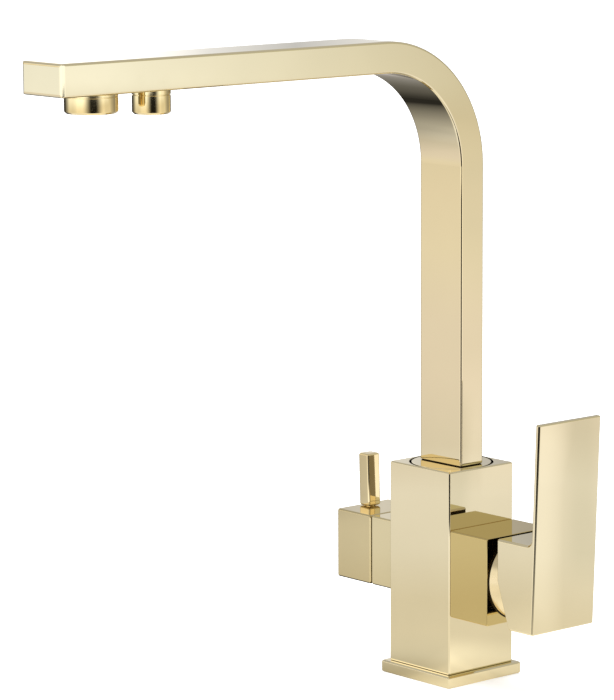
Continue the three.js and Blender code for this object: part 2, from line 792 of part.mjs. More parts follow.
function cartridgeTurret() {
  const frontX = mixerEndX + turretRise;
  const halfStem = stemSide / 2;
  const lift = THREE.MathUtils.degToRad(liftDegrees);
  const reach = frontX - pivotX;
  const drop = reach * Math.tan(lift) + halfStem / Math.cos(lift) + slip;
  const rise = (pivotX - turretBackX) * Math.tan(lift) + halfStem / Math.cos(lift) + slip;
  const z = mixerAxisZ;
  return cut(
    bar('x', cartridgeBoreRadius - slip, turretBackX, frontX, mixerCentre),
    box([turretBackX - cutOver, frontX + cutOver], [-halfStem - slip, halfStem + slip], [z - drop, z + rise]),
    bar('y', pivotPinRadius + slip / 2, -cartridgeRadius, cartridgeRadius, [pivotX, z]),
  );
}

const pivotPinHalf = Math.sqrt((cartridgeBoreRadius - slip) ** 2 - pivotPinRadius ** 2) - slip;
const pivotPin = () => bar('y', pivotPinRadius, -pivotPinHalf, pivotPinHalf, [pivotX, mixerAxisZ]);

function mixerStem() {
  const half = stemSide / 2;
  const tip = stemTipSide / 2;
  const z = mixerAxisZ;
  const tipX = mixerEndX - stemTipDepth;
  const shankX = tipX + stemTipLength;
  return cut(
    join(
      roundedBlock([shankX, mixerEndX + stemReach], [-half, half], [z - half, z + half], slip),
      box([tipX, shankX + overlap], [-tip, tip], [z - tip, z + tip]),
    ),
    bar('y', pivotPinRadius + slip / 2, -half - cutOver, half + cutOver, [pivotX, z]),
  );
}

function ringNut() {
  const frontX = mixerEndX + ringNutRise;
  const backX = shoulderX + 2 * seat;
  const z = mixerAxisZ;
  const ring = cut(
    bar('x', ringNutRadius, backX, frontX, mixerCentre),
    bar('x', cartridgeNeckRadius + slip, backX - cutOver, frontX + cutOver, mixerCentre),
  );
  const notch = ringNutNotch / 2;
  const across = ringNutRadius + cutOver;
  const depth = [frontX - ringNutNotchDepth, frontX + cutOver];
  return cut(
    ring,
    box(depth, [-across, across], [z - notch, z + notch]),
    box(depth, [-notch, notch], [z - across, z + across]),
  );
}

// The dome: a brim on the housing's face, a fine groove, then a spherical cap with its opening.
function domeCover() {
  const brimX = mixerEndX + seat;
  const grooveX = brimX + brimThickness;
  const baseX = grooveX + neckGroove;
  const centreX = baseX - Math.sqrt(domeSphereRadius ** 2 - domeBaseRadius ** 2);
  const capAt = (sphere, radius) => centreX + Math.sqrt(sphere ** 2 - radius ** 2);
  const skirtInner = ringNutRadius + slip;
  const skirtOuter = skirtInner + skirtThickness;
  const steps = 4;
  const outerAngle = (radius) => Math.asin(radius / domeSphereRadius);
  const outerArc = Array.from({ length: steps + 1 }, (_, i) => {
    const from = outerAngle(domeBaseRadius);
    const angle = from + ((outerAngle(domeOpeningRadius) - from) * i) / steps;
    return [domeSphereRadius * Math.sin(angle), centreX + domeSphereRadius * Math.cos(angle)];
  });
  const sphereInside = domeSphereRadius - domeWall;
  const innerArc = [0, 0.5, 1].map((share) => {
    const radius = domeOpeningRadius + (skirtInner - domeOpeningRadius) * share;
    return [radius, capAt(sphereInside, radius)];
  });
  return turned('x', [
    [skirtInner, mixerEndX - skirtDepth],
    [skirtOuter, mixerEndX - skirtDepth],
    [skirtOuter, brimX],
    [brimRadius, brimX],
    [brimRadius, grooveX],
    [domeBaseRadius - neckGroove, grooveX],
    [domeBaseRadius - neckGroove, baseX],
    ...outerArc,
    ...innerArc,
  ], mixerCentre, largeSides);
}

// ---- Lever ---------------------------------------------------------------------------------

const plateOuterX = (z) => plateFootX + (z - hubBottomZ) * plateLean;
const plateInnerX = (z) => plateOuterX(z) - plateThickness;
const cavityEndX = plateInnerX(hubBottomZ) - hubEndWall;
const leverScrewX = (hubBackX + bossStart + mixerEndX + stemReach) / 2;

// The lever seen from the side. Shape x is X of the tap, shape y is Z.
const leverOutline = () => roundedOutline([
  [hubBackX, hubBottomZ + hubHeelRise, heelRound],
  [hubBackX + hubHeelCut, hubBottomZ, heelRound],
  [plateOuterX(hubBottomZ), hubBottomZ, cornerRound],
  [plateOuterX(plateTopZ), plateTopZ, cornerRound],
  [plateInnerX(plateTopZ), plateTopZ, cornerRound],
  [plateInnerX(hubTopZ), hubTopZ, hubFillet],
  [hubBackX, hubTopZ, cornerRound],
]);

function leverHandle() {
  const outside = pushed(leverOutline(), leverWidth, edgeRound)
    .translate(0, 0, -leverWidth / 2)
    .rotateX(Math.PI / 2);
  const halfInside = leverWidth / 2 - hubWall;
  const z = mixerAxisZ;
  const cavity = box([hubBackX - cutOver, cavityEndX], [-halfInside, halfInside],
    [hubBottomZ + hubWall, hubTopZ - hubWall]);
  const boss = box([hubBackX + bossStart, cavityEndX + overlap], [-bossHalfWidth, bossHalfWidth],
    [z - bossDrop, z + bossHalfWidth]);
  const socketHalf = stemSide / 2 + slip / 2;
  const socket = box([hubBackX, mixerEndX + stemReach + slip], [-socketHalf, socketHalf],
    [z - socketHalf, z + socketHalf]);
  return cut(
    join(cut(solid(outside), cavity), boss),
    socket,
    bar('z', setScrewRadius + slip / 2, hubBottomZ - cutOver, z, [leverScrewX, 0]),
    bar('z', plugRadius + slip / 2, hubBottomZ - cutOver, hubBottomZ + hubWall + seat, [leverScrewX, 0]),
  );
}

function leverSetScrew() {
  const topZ = mixerAxisZ - stemSide / 2 - slip;
  const lowZ = mixerAxisZ - bossDrop;
  return cut(
    bar('z', setScrewRadius, lowZ, topZ, [leverScrewX, 0]),
    bar('z', setScrewRadius / 2, lowZ - cutOver, lowZ + screwKeyDepth, [leverScrewX, 0], 6),
  );
}

const leverPlug = () => bar('z', plugRadius, hubBottomZ + seat, hubBottomZ + hubWall, [leverScrewX, 0]);

// ---- Filtered-water valve ------------------------------------------------------------------

const filterCentre = [0, filterAxisZ];
const filterHalf = filterSide / 2;
const flangePocket = headworkFlangeThickness + 2 * seat;
const chamberFloorX = filterEndX + filterChamberDepth;

function filterHousing() {
  const startX = -bodyHalf - seat;
  const spigotX = -bodyHalf + sideSocketDepth - slip;
  const block = join(
    roundedBlock([filterEndX, startX], [-filterHalf, filterHalf],
      [filterAxisZ - filterHalf, filterAxisZ + filterHalf]),
    bar('x', filterSpigotRadius, startX - overlap, spigotX, filterCentre),
  );
  const ways = [-filterPassOffset, filterPassOffset].map((rise) => bar('x', channelRadius,
    chamberFloorX - overlap, spigotX + cutOver, [0, filterAxisZ + rise]));
  return cut(
    block, ...ways,
    bar('x', headworkRadius + slip, filterEndX - cutOver, chamberFloorX, filterCentre),
    bar('x', headworkFlangeRadius + slip, filterEndX - cutOver, filterEndX + flangePocket, filterCentre),
    sideSealGroove(filterSpigotRadius, -bodyHalf + sideSocketDepth / 2, filterCentre),
  );
}

function filterHeadwork() {
  const innerX = chamberFloorX - slip;
  const flangeX = filterEndX + headworkFlangeThickness + seat;
  const neckX = filterEndX - headworkNeckLength;
  return cut(
    join(
      bar('x', headworkRadius, flangeX - overlap, innerX, filterCentre),
      bar('x', headworkFlangeRadius, filterEndX + seat, flangeX, filterCentre, 6),
      bar('x', headworkNeckRadius, neckX, filterEndX + overlap, filterCentre),
    ),
    bar('x', spindleRadius + slip / 2, neckX - cutOver, filterEndX + spindleInside, filterCentre),
    bar('x', channelRadius, filterEndX, innerX + cutOver, filterCentre),
  );
}

const filterSpindle = () => bar('x', spindleRadius, filterEndX - spindleReach,
  filterEndX + spindleInside - slip, filterCentre);

const spindleGap = slip / 2;
const knobScrewX = (knobStartX - knobRecessDepth + filterEndX - spindleReach) / 2;
const pinFootX = knobEndX + pinInset;
const knobTopZ = filterAxisZ + filterHalf;

function filterKnob() {
  const z = filterAxisZ;
  return cut(
    roundedBlock([knobEndX, knobStartX], [-filterHalf, filterHalf], [z - filterHalf, z + filterHalf]),
    bar('x', knobRecessRadius, knobStartX - knobRecessDepth, knobStartX + cutOver, filterCentre),
    bar('x', spindleRadius + spindleGap, filterEndX - spindleReach - slip, knobStartX, filterCentre),
    bar('z', setScrewRadius + slip / 2, z - filterHalf - cutOver, z, [knobScrewX, 0]),
    solid(leaningPin(new THREE.CylinderGeometry(pinTailRadius + slip, pinTailRadius + slip,
      pinTailLength + cutOver + slip, pinTailSides).rotateX(Math.PI / 2)
      .translate(0, 0, (cutOver - pinTailLength - slip) / 2))),
  );
}

function knobScrew() {
  const lowZ = filterAxisZ - filterHalf + 2 * edgeRound;
  return cut(
    bar('z', setScrewRadius, lowZ, filterAxisZ - spindleRadius - slip, [knobScrewX, 0]),
    bar('z', setScrewRadius / 2, lowZ - cutOver, lowZ + screwKeyDepth, [knobScrewX, 0], 6),
  );
}

// Stands a geometry made about the pin's foot on the knob, screwed in a little past square and
// leaning out like the lever's plate.
const leaningPin = (geometry) => geometry
  .rotateZ(-THREE.MathUtils.degToRad(pinTwistDegrees))
  .rotateY(-THREE.MathUtils.degToRad(pinLeanDegrees))
  .translate(pinFootX, 0, knobTopZ);

function filterPin() {
  const shank = pushed(roundedRectangle(pinSide, pinSide, cornerRound), pinLength, edgeRound)
    .translate(0, 0, pinFootGap);
  const tail = new THREE.CylinderGeometry(pinTailRadius, pinTailRadius, pinTailLength + overlap, pinTailSides)
    .rotateX(Math.PI / 2)
    .translate(0, 0, (overlap - pinTailLength) / 2 + pinFootGap);
  return join(solid(leaningPin(shank)), solid(leaningPin(tail)));
}

// ---- Assembly ------------------------------------------------------------------------------

const tap = new THREE.Group();

function place(group, name, body, material) {
  const mesh = new THREE.Mesh(geometryOf(body), material);
  mesh.name = name;
  group.add(mesh);
}

function subAssembly(name) {
  const group = new THREE.Group();
  group.name = name;
  tap.add(group);
  return group;
}

const base = subAssembly('base_group');
place(base, 'base_flange', baseFlange(), finishes.gold());
place(base, 'base_gasket', baseGasket(), finishes.rubber());
place(base, 'body_column', bodyColumn(), finishes.gold());
place(base, 'stud_left', stud(-1), finishes.steel());
place(base, 'stud_right', stud(1), finishes.steel());
place(base, 'clamp_rubber', clampPiece(clampTopZ, clampRubberThickness), finishes.rubber());
place(base, 'clamp_plate', clampPiece(clampTopZ - clampRubberThickness - seat, clampPlateThickness),
  finishes.steel());
place(base, 'stud_nut_left', studNut(-1), finishes.brass());
place(base, 'stud_nut_right', studNut(1), finishes.brass());
place(base, 'spout_keeper_screw', spoutKeeper(), finishes.steel());

const spout = subAssembly('spout_group');
place(spout, 'spout_tube', spoutTube(), finishes.gold());
place(spout, 'spout_foot', spoutFoot(), finishes.gold());
place(spout, 'spout_seal_lower', spoutSeal(0), finishes.rubber());
place(spout, 'spout_seal_upper', spoutSeal(1), finishes.rubber());
place(spout, 'spout_glide_ring', glideRing(), finishes.whitePlastic());
place(spout, 'filtered_tube', filteredTube(), finishes.whitePlastic());
place(spout, 'filtered_elbow', filteredElbow(), finishes.brass());

const mixedOutlet = [aeratorY, aeratorRadius, aeratorHeight];
place(spout, 'aerator_housing', outletHousing(...mixedOutlet, aeratorNeckRadius, aeratorWall,
  aeratorNeckRadius - aeratorWall), finishes.gold());
place(spout, 'aerator_insert', outletInsert(...mixedOutlet, aeratorWall, 2), finishes.greyPlastic());
place(spout, 'aerator_washer', outletWasher(...mixedOutlet, aeratorWall), finishes.rubber());
const filteredOutlet = [outletY, outletRadius, outletHeight];
place(spout, 'filter_outlet_housing', outletHousing(...filteredOutlet, outletNeckRadius, outletWall,
  channelRadius), finishes.gold());
place(spout, 'filter_outlet_insert', outletInsert(...filteredOutlet, outletWall, 1), finishes.whitePlastic());
place(spout, 'filter_outlet_washer', outletWasher(...filteredOutlet, outletWall), finishes.rubber());

const mixer = subAssembly('mixer_group');
place(mixer, 'mixer_housing', mixerHousing(), finishes.gold());
place(mixer, 'mixer_spigot_seal', sideSeal(mixerSpigotRadius, bodyHalf - sideSocketDepth / 2, mixerCentre),
  finishes.rubber());
place(mixer, 'mixer_base_seal', mixerBaseSeal(), finishes.rubber());
place(mixer, 'cartridge_body', cartridgeBody(), finishes.whitePlastic());
place(mixer, 'cartridge_fixed_disc', fixedDisc(), finishes.ceramic());
place(mixer, 'cartridge_moving_disc', movingDisc(), finishes.ceramic());
place(mixer, 'cartridge_turret', cartridgeTurret(), finishes.greyPlastic());
place(mixer, 'cartridge_pivot_pin', pivotPin(), finishes.steel());
place(mixer, 'cartridge_ring_nut', ringNut(), finishes.brass());
place(mixer, 'mixer_dome_cover', domeCover(), finishes.gold());

const lever = subAssembly('lever_group');
place(lever, 'mixer_stem', mixerStem(), finishes.steel());
place(lever, 'lever_handle', leverHandle(), finishes.gold());
place(lever, 'lever_set_screw', leverSetScrew(), finishes.steel());
place(lever, 'lever_plug', leverPlug(), finishes.greyPlastic());

const filter = subAssembly('filter_group');
place(filter, 'filter_valve_housing', filterHousing(), finishes.gold());
place(filter, 'filter_spigot_seal', sideSeal(filterSpigotRadius, -bodyHalf + sideSocketDepth / 2,
  filterCentre), finishes.rubber());
place(filter, 'filter_headwork', filterHeadwork(), finishes.brass());
place(filter, 'filter_spindle', filterSpindle(), finishes.brass());
place(filter, 'filter_knob', filterKnob(), finishes.gold());
place(filter, 'filter_knob_screw', knobScrew(), finishes.steel());
place(filter, 'filter_pin_lever', filterPin(), finishes.gold());

export default tap;
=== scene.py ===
"""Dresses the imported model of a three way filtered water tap: polished pieces, finishes and a studio.

Sizes in the classes are millimetres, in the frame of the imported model: +Z up, the spout towards -Y,
the mixer lever at +X and the filtered water valve at -X.
"""

from __future__ import annotations

import logging
import math
from collections.abc import Callable, Sequence
from dataclasses import dataclass, field
from enum import Enum

import bmesh
import bpy
from mathutils import Matrix, Vector

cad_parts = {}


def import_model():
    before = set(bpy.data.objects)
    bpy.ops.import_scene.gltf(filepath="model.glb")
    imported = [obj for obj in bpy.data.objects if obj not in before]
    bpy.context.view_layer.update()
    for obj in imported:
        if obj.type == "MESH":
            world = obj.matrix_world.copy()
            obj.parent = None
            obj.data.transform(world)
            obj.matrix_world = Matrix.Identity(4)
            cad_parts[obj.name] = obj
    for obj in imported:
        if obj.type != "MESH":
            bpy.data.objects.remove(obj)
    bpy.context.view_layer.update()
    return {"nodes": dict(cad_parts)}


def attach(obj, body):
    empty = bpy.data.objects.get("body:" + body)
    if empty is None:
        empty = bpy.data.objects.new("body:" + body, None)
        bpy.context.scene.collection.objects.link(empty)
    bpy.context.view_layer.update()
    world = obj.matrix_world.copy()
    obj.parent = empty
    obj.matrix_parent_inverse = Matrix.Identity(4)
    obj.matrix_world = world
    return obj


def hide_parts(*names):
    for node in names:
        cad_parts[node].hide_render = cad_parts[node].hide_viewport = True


LOG = logging.getLogger("tap")
MM = 0.001
TOOL_SPARE = 2.0  # how far a tool reaches past the face that it works on, in mm

Pair = tuple[float, float]
Colour = tuple[float, float, float]
Loop = list[Vector]
Piece = bpy.types.Object
Socket = bpy.types.NodeSocket


# ---- Shapes --------------------------------------------------------------------------------


class Axis(Enum):
    """The direction in which a piece is pushed or turned."""

    X = "x"
    Y = "y"
    Z = "z"

    def place(self, across: float, up: float, along: float) -> Vector:
        """Puts a point given in the piece's own directions into the tap's directions.

        Args:
            across: the first direction of the section, in mm.
            up: the second direction of the section, in mm.
            along: the place along this axis, in mm.

        Returns:
            The point in metres.
        """
        if self is Axis.X:
            return Vector((along, across, up)) * MM
        if self is Axis.Y:
            return Vector((up, along, across)) * MM
        return Vector((across, up, along)) * MM


@dataclass(frozen=True)
class Edge:
    """A polished edge: a narrow flat between two small rounds, as a buffed chamfer has."""

    setback: float = 0.7
    shoulder: float = 0.5
    steps: int = 4

    def profile(self) -> list[Pair]:
        """The edge's section from one face to the other.

        Returns:
            Pairs of how far a point lies from the corner along the first face and below that face,
            which are also the inset and the drop from a flat end to the side below it.
        """
        start = self.setback + self.shoulder * math.tan(math.pi / 8)
        angles = [math.pi / 4 * i / self.steps for i in range(self.steps + 1)]
        arc = [(start - self.shoulder * math.sin(a), self.shoulder * (1 - math.cos(a))) for a in angles]
        return arc + [(b, a) for a, b in reversed(arc)]


@dataclass(frozen=True)
class Polygon:
    """An outline through corners with a radius each, which can be drawn inset."""

    corners: tuple[tuple[float, float, float], ...]
    steps: int = 8
    large_steps: int = 56
    large_radius: float = 20.0
    least_radius: float = 0.02

    def at(self, inset: float) -> list[Pair]:
        """The outline moved inwards.

        Args:
            inset: how far it moves, in mm.

        Returns:
            Its points, counter-clockwise, and as many for any inset.
        """
        count = len(self.corners)
        points = [Vector((x, y)) for x, y, _ in self.corners]
        outline: list[Pair] = []
        for i, (_, _, radius) in enumerate(self.corners):
            corner = points[i]
            before = (points[i - 1] - corner).normalized()
            after = (points[(i + 1) % count] - corner).normalized()
            way = 1 if before.x * after.y - before.y * after.x < 0 else -1
            half = before.angle(after) / 2
            inner = (before + after).normalized()
            moved = corner + inner * way * (inset / math.sin(half))
            if radius == 0:
                outline.append((moved.x, moved.y))
                continue
            size = max(radius - inset, self.least_radius) if way > 0 else radius + inset
            centre = moved + inner * (size / math.sin(half))
            start = moved + before * (size / math.tan(half)) - centre
            turn = (math.pi - 2 * half) * way
            steps = self.large_steps if radius > self.large_radius else self.steps
            for k in range(steps + 1):
                spoke = Matrix.Rotation(turn * k / steps, 2) @ start
                outline.append((centre.x + spoke.x, centre.y + spoke.y))
        return outline


def piece_of(name: str, mesh: bmesh.types.BMesh) -> Piece:
    """Makes an object of a finished bmesh and frees it.

    Args:
        name: the piece's name.
        mesh: the finished bmesh.

    Returns:
        The object, linked into the scene.
    """
    data = bpy.data.meshes.new(name)
    mesh.to_mesh(data)
    mesh.free()
    piece = bpy.data.objects.new(name, data)
    bpy.context.scene.collection.objects.link(piece)
    return piece


def skinned(name: str, loops: Sequence[Loop], ring: bool = False) -> Piece:
    """A closed piece with its skin stretched over loops of equal count.

    Args:
        name: the piece's name.
        loops: rows of points in metres.
        ring: whether the last loop joins the first one, instead of both being capped.

    Returns:
        The piece.
    """
    mesh = bmesh.new()
    rows = [[mesh.verts.new(point) for point in loop] for loop in loops]
    count = len(rows[0])
    pairs = list(zip(rows, rows[1:]))
    if ring:
        pairs.append((rows[-1], rows[0]))
    for low, high in pairs:
        for k in range(count):
            after = (k + 1) % count
            mesh.faces.new((low[k], low[after], high[after], high[k]))
    if not ring:
        mesh.faces.new(list(reversed(rows[0])))
        mesh.faces.new(rows[-1])
    bmesh.ops.recalc_face_normals(mesh, faces=mesh.faces)
    return piece_of(name, mesh)


def polished(piece: Piece, sharp_degrees: float = 38.0) -> Piece:
    """Shades a piece so that its flats mirror like flats and its edges roll between them.

    Args:
        piece: the piece.
        sharp_degrees: edges that turn more than this stay crisp.

    Returns:
        The same piece.
    """
    piece.data.shade_smooth()
    piece.data.set_sharp_from_angle(angle=math.radians(sharp_degrees))
    weighted = piece.modifiers.new("flat_faces_first", "WEIGHTED_NORMAL")
    weighted.mode = "FACE_AREA"
    weighted.weight = 80
    weighted.keep_sharp = True
    return piece


def turned(name: str, axis: Axis, centre: Pair, profile: Sequence[Pair], ring: bool = False,
           sides: int = 128) -> Piece:
    """A piece turned on a lathe.

    Args:
        name: the piece's name.
        axis: the direction of its axis.
        centre: where the axis lies across that direction, in mm.
        profile: pairs of radius and place along the axis, in mm.
        ring: whether the profile closes on itself round a hole.
        sides: how many flats go round.

    Returns:
        The piece.
    """
    across, up = centre
    turns = [2 * math.pi * k / sides for k in range(sides)]
    loops = [
        [axis.place(across + r * math.cos(t), up + r * math.sin(t), along) for t in turns]
        for r, along in profile
    ]
    return polished(skinned(name, loops, ring))


@dataclass(frozen=True)
class Block:
    """A block with buffed edges and, where it has one, a round bore in its far end.

    The span runs from the plain end to the bored end, so it may run backwards along its axis. The
    bore's first two rows belong to its plated rim, and what lies deeper gets a near-black painted
    shade.
    """

    name: str
    axis: Axis
    centre: Pair
    halves: Pair
    span: Pair
    bore: tuple[Pair, ...] = ()
    edge: Edge = field(default_factory=Edge)
    start_edge: Edge | None = None
    end_edge: Edge | None = None
    side_steps: int = 14
    plated_rows: int = 2

    def outline(self, inset: float) -> list[Pair]:
        """The block's section.

        Args:
            inset: how far it lies inside the block's faces.

        Returns:
            Its points about the centre, with steps along each face where a bore needs them.
        """
        wide, high = self.halves[0] - inset, self.halves[1] - inset
        profile = self.edge.profile()
        steps = self.side_steps if self.bore else 1
        corners: list[list[Pair]] = []
        for sx, sy, swap in ((1, 1, True), (-1, 1, False), (-1, -1, True), (1, -1, False)):
            section = [(far, near) for near, far in profile] if swap else profile
            corners.append([(sx * (wide - near), sy * (high - far)) for near, far in section])
        outline: list[Pair] = []
        for corner, after in zip(corners, corners[1:] + corners[:1]):
            (x, y), (next_x, next_y) = corner[-1], after[0]
            outline += corner
            outline += [(x + (next_x - x) * k / steps, y + (next_y - y) * k / steps)
                        for k in range(1, steps)]
        return outline

    def loop(self, section: Sequence[Pair], along: float) -> Loop:
        """Puts a section at a place along the axis."""
        return [self.axis.place(self.centre[0] + x, self.centre[1] + y, along) for x, y in section]

    def build(self) -> Piece:
        """Builds the block.

        Returns:
            The piece, shaded.
        """
        start, end = self.span
        way = 1 if end > start else -1
        first = (self.start_edge or self.edge).profile()
        last = (self.end_edge or self.edge).profile()
        loops = [self.loop(self.outline(inset), start + way * drop) for inset, drop in first]
        loops += [self.loop(self.outline(inset), end - way * drop) for inset, drop in reversed(last)]
        rows = len(loops) - 1 + self.plated_rows
        around = [math.atan2(y, x) for x, y in self.outline(0)]
        loops += [self.loop([(r * math.cos(t), r * math.sin(t)) for t in around], along)
                  for r, along in self.bore]
        piece = polished(skinned(self.name, loops))
        if self.bore:
            faces = piece.data.polygons
            for face in faces:
                # Faces deeper than the plated rim get the near-black painted shade.
                deep = face.index >= rows * len(around) and face.index != len(faces) - 2
                face.material_index = int(deep)
        return piece


def pushed(name: str, shape: Polygon, width: float, edge: Edge, across_x: bool,
           rows_inside: Sequence[float] = ()) -> Piece:
    """A side outline pushed across the tap, with buffed rims.

    Args:
        name: the piece's name.
        shape: the outline seen from the side.
        width: how wide the piece is, in mm.
        edge: the edge at both rims.
        across_x: whether it is pushed along X, with the outline's first direction at -Y;
            otherwise it is pushed along Y, with the first direction at +X.
        rows_inside: how far inside both rims further rows of points go.

    Returns:
        The piece, shaded.
    """
    rim = edge.profile() + [(0.0, drop) for drop in rows_inside]
    rows = [(inset, drop - width / 2) for inset, drop in rim]
    rows += [(inset, width / 2 - drop) for inset, drop in reversed(rim)]
    loops = []
    for inset, side in rows:
        outline = shape.at(inset)
        if across_x:
            loops.append([Vector((side, -forward, up)) * MM for forward, up in outline])
        else:
            loops.append([Vector((forward, side, up)) * MM for forward, up in outline])
    return polished(skinned(name, loops))


def trimmed(piece: Piece, height: float) -> None:
    """Cuts a piece flat and keeps what is above.

    Args:
        piece: the piece.
        height: where it is cut, in mm.
    """
    mesh = bmesh.new()
    mesh.from_mesh(piece.data)
    everything = mesh.verts[:] + mesh.edges[:] + mesh.faces[:]
    result = bmesh.ops.bisect_plane(
        mesh, geom=everything, plane_co=(0, 0, height * MM), plane_no=(0, 0, 1), clear_inner=True
    )
    rim = [item for item in result["geom_cut"] if isinstance(item, bmesh.types.BMEdge)]
    bmesh.ops.contextual_create(mesh, geom=rim)
    bmesh.ops.recalc_face_normals(mesh, faces=mesh.faces)
    mesh.to_mesh(piece.data)
    mesh.free()


class Mode(Enum):
    """How a tool piece changes another piece."""

    CUT = "DIFFERENCE"
    JOIN = "UNION"


def worked(piece: Piece, mode: Mode, *tools: Piece) -> None:
    """Cuts or joins tool pieces, removes them and shades the piece again.

    Args:
        piece: the piece that is changed.
        mode: whether the tools are cut out or joined on.
        tools: the tool pieces.
    """
    piece.modifiers.clear()
    for tool in tools:
        tool.modifiers.clear()
        change = piece.modifiers.new("work", "BOOLEAN")
        change.operation = mode.value
        change.solver = "EXACT"
        change.object = tool
    bpy.context.view_layer.update()
    graph = bpy.context.evaluated_depsgraph_get()
    data = bpy.data.meshes.new_from_object(piece.evaluated_get(graph))
    piece.modifiers.clear()
    piece.data = data
    for tool in tools:
        bpy.data.objects.remove(tool)
    polished(piece)


def plain_box(low: Sequence[float], high: Sequence[float]) -> Piece:
    """A box as a tool.

    Args:
        low: its lowest corner, in mm.
        high: its highest corner, in mm.

    Returns:
        The box.
    """
    mesh = bmesh.new()
    bmesh.ops.create_cube(mesh, size=1)
    for vert in mesh.verts:
        place = [low[i] + (high[i] - low[i]) * (vert.co[i] + 0.5) for i in range(3)]
        vert.co = Vector(place) * MM
    return piece_of("tool_box", mesh)


def plain_bar(axis: Axis, radius: float, centre: Pair, span: Pair) -> Piece:
    """A round bar between two places along an axis, as a tool."""
    return turned("tool_bar", axis, centre, [(radius, along) for along in span], sides=48)


# ---- Node groups ---------------------------------------------------------------------------


class Nodes:
    """A small helper that adds nodes to a tree and wires them."""

    def __init__(self, tree: bpy.types.NodeTree) -> None:
        """Keeps the tree that the nodes go to."""
        self.tree = tree

    def add(self, kind: str, inputs: dict[str | int, object] | None = None,
            **values: object) -> bpy.types.Node:
        """Adds a node.

        Args:
            kind: the node's Blender type.
            inputs: what its inputs get, by name or number.
            values: properties of the node, by name.

        Returns:
            The node.
        """
        node = self.tree.nodes.new(kind)
        for key, value in values.items():
            setattr(node, key, value)
        for socket, value in (inputs or {}).items():
            self.feed(value, node, socket)
        return node

    def feed(self, value: object, node: bpy.types.Node, socket: str | int) -> None:
        """Gives an input its value.

        Args:
            value: an output that is wired to the input, or a plain number or colour.
            node: the node with the input.
            socket: the input's name or number.
        """
        if isinstance(value, Socket):
            self.tree.links.new(value, node.inputs[socket])
        elif node.inputs[socket].type == "RGBA":
            node.inputs[socket].default_value = (*value, 1.0)
        else:
            node.inputs[socket].default_value = value

    def math(self, operation: str, first: object, second: object = 0.0) -> Socket:
        """Adds a Math node for two numbers or outputs."""
        return self.add("ShaderNodeMath", {0: first, 1: second}, operation=operation).outputs[0]

    def times(self, first: object, *others: object) -> Socket:
        """Multiplies numbers or outputs."""
        for other in others:
            first = self.math("MULTIPLY", first, other)
        return first

    def azimuth(self, x: Socket, y: Socket) -> Socket:
        """The direction of a place or a way in the floor's plane, in degrees."""
        return self.times(self.math("ARCTAN2", y, x), 180 / math.pi)

    def noise(self, place: Socket, scale: object, detail: float) -> Socket:
        """Adds a noise texture and returns its value, from 0 to 1."""
        inputs = {"Vector": place, "Scale": scale, "Detail": detail}
        return self.add("ShaderNodeTexNoise", inputs).outputs["Fac"]

    def ranged(self, value: Socket, source: Pair, target: Pair, smooth: bool = False) -> Socket:
        """Maps one range of numbers onto another, held at its ends.

        Args:
            value: the number that is mapped.
            source: the range that it comes from.
            target: the range that it goes to.
            smooth: whether it eases in and out at both ends.

        Returns:
            The mapped number.
        """
        inputs = dict(zip(("From Min", "From Max", "To Min", "To Max"), source + target))
        kind = "SMOOTHSTEP" if smooth else "LINEAR"
        node = self.add("ShaderNodeMapRange", {"Value": value} | inputs, interpolation_type=kind)
        return node.outputs["Result"]

    def ramp(self, value: Socket, source: Pair, stops: Sequence[tuple[float, Colour]]) -> Socket:
        """Turns a number into a colour.

        Args:
            value: the number.
            source: the range that the ramp covers.
            stops: pairs of a number in that range and its colour.

        Returns:
            The colour's output.
        """
        node = self.add("ShaderNodeValToRGB", {0: self.ranged(value, source, (0.0, 1.0))})
        low, high = source
        elements = node.color_ramp.elements
        elements.remove(elements[1])
        for index, (place, colour) in enumerate(stops):
            element = elements[0] if index == 0 else elements.new(1.0)
            element.position = (place - low) / (high - low)
            element.color = (*colour, 1.0)
        return node.outputs["Color"]

    def mixed(self, share: object, first: object, second: object, blend: str = "MIX") -> Socket:
        """Mixes two colours.

        Args:
            share: how much of the second colour, a number or an output.
            first: a colour or an output.
            second: a colour or an output.
            blend: how they are mixed.

        Returns:
            The mixed colour's output.
        """
        inputs = {0: share, 6: first, 7: second}
        return self.add("ShaderNodeMix", inputs, data_type="RGBA", blend_type=blend).outputs[2]

    def rays(self) -> tuple[Socket, Socket]:
        """What kind of ray is asking.

        Returns:
            Whether it comes from the camera, and whether it comes from a mirror or through glass.
        """
        path = self.add("ShaderNodeLightPath").outputs
        mirror = self.math("MAXIMUM", path["Is Glossy Ray"], path["Is Transmission Ray"])
        return path["Is Camera Ray"], mirror


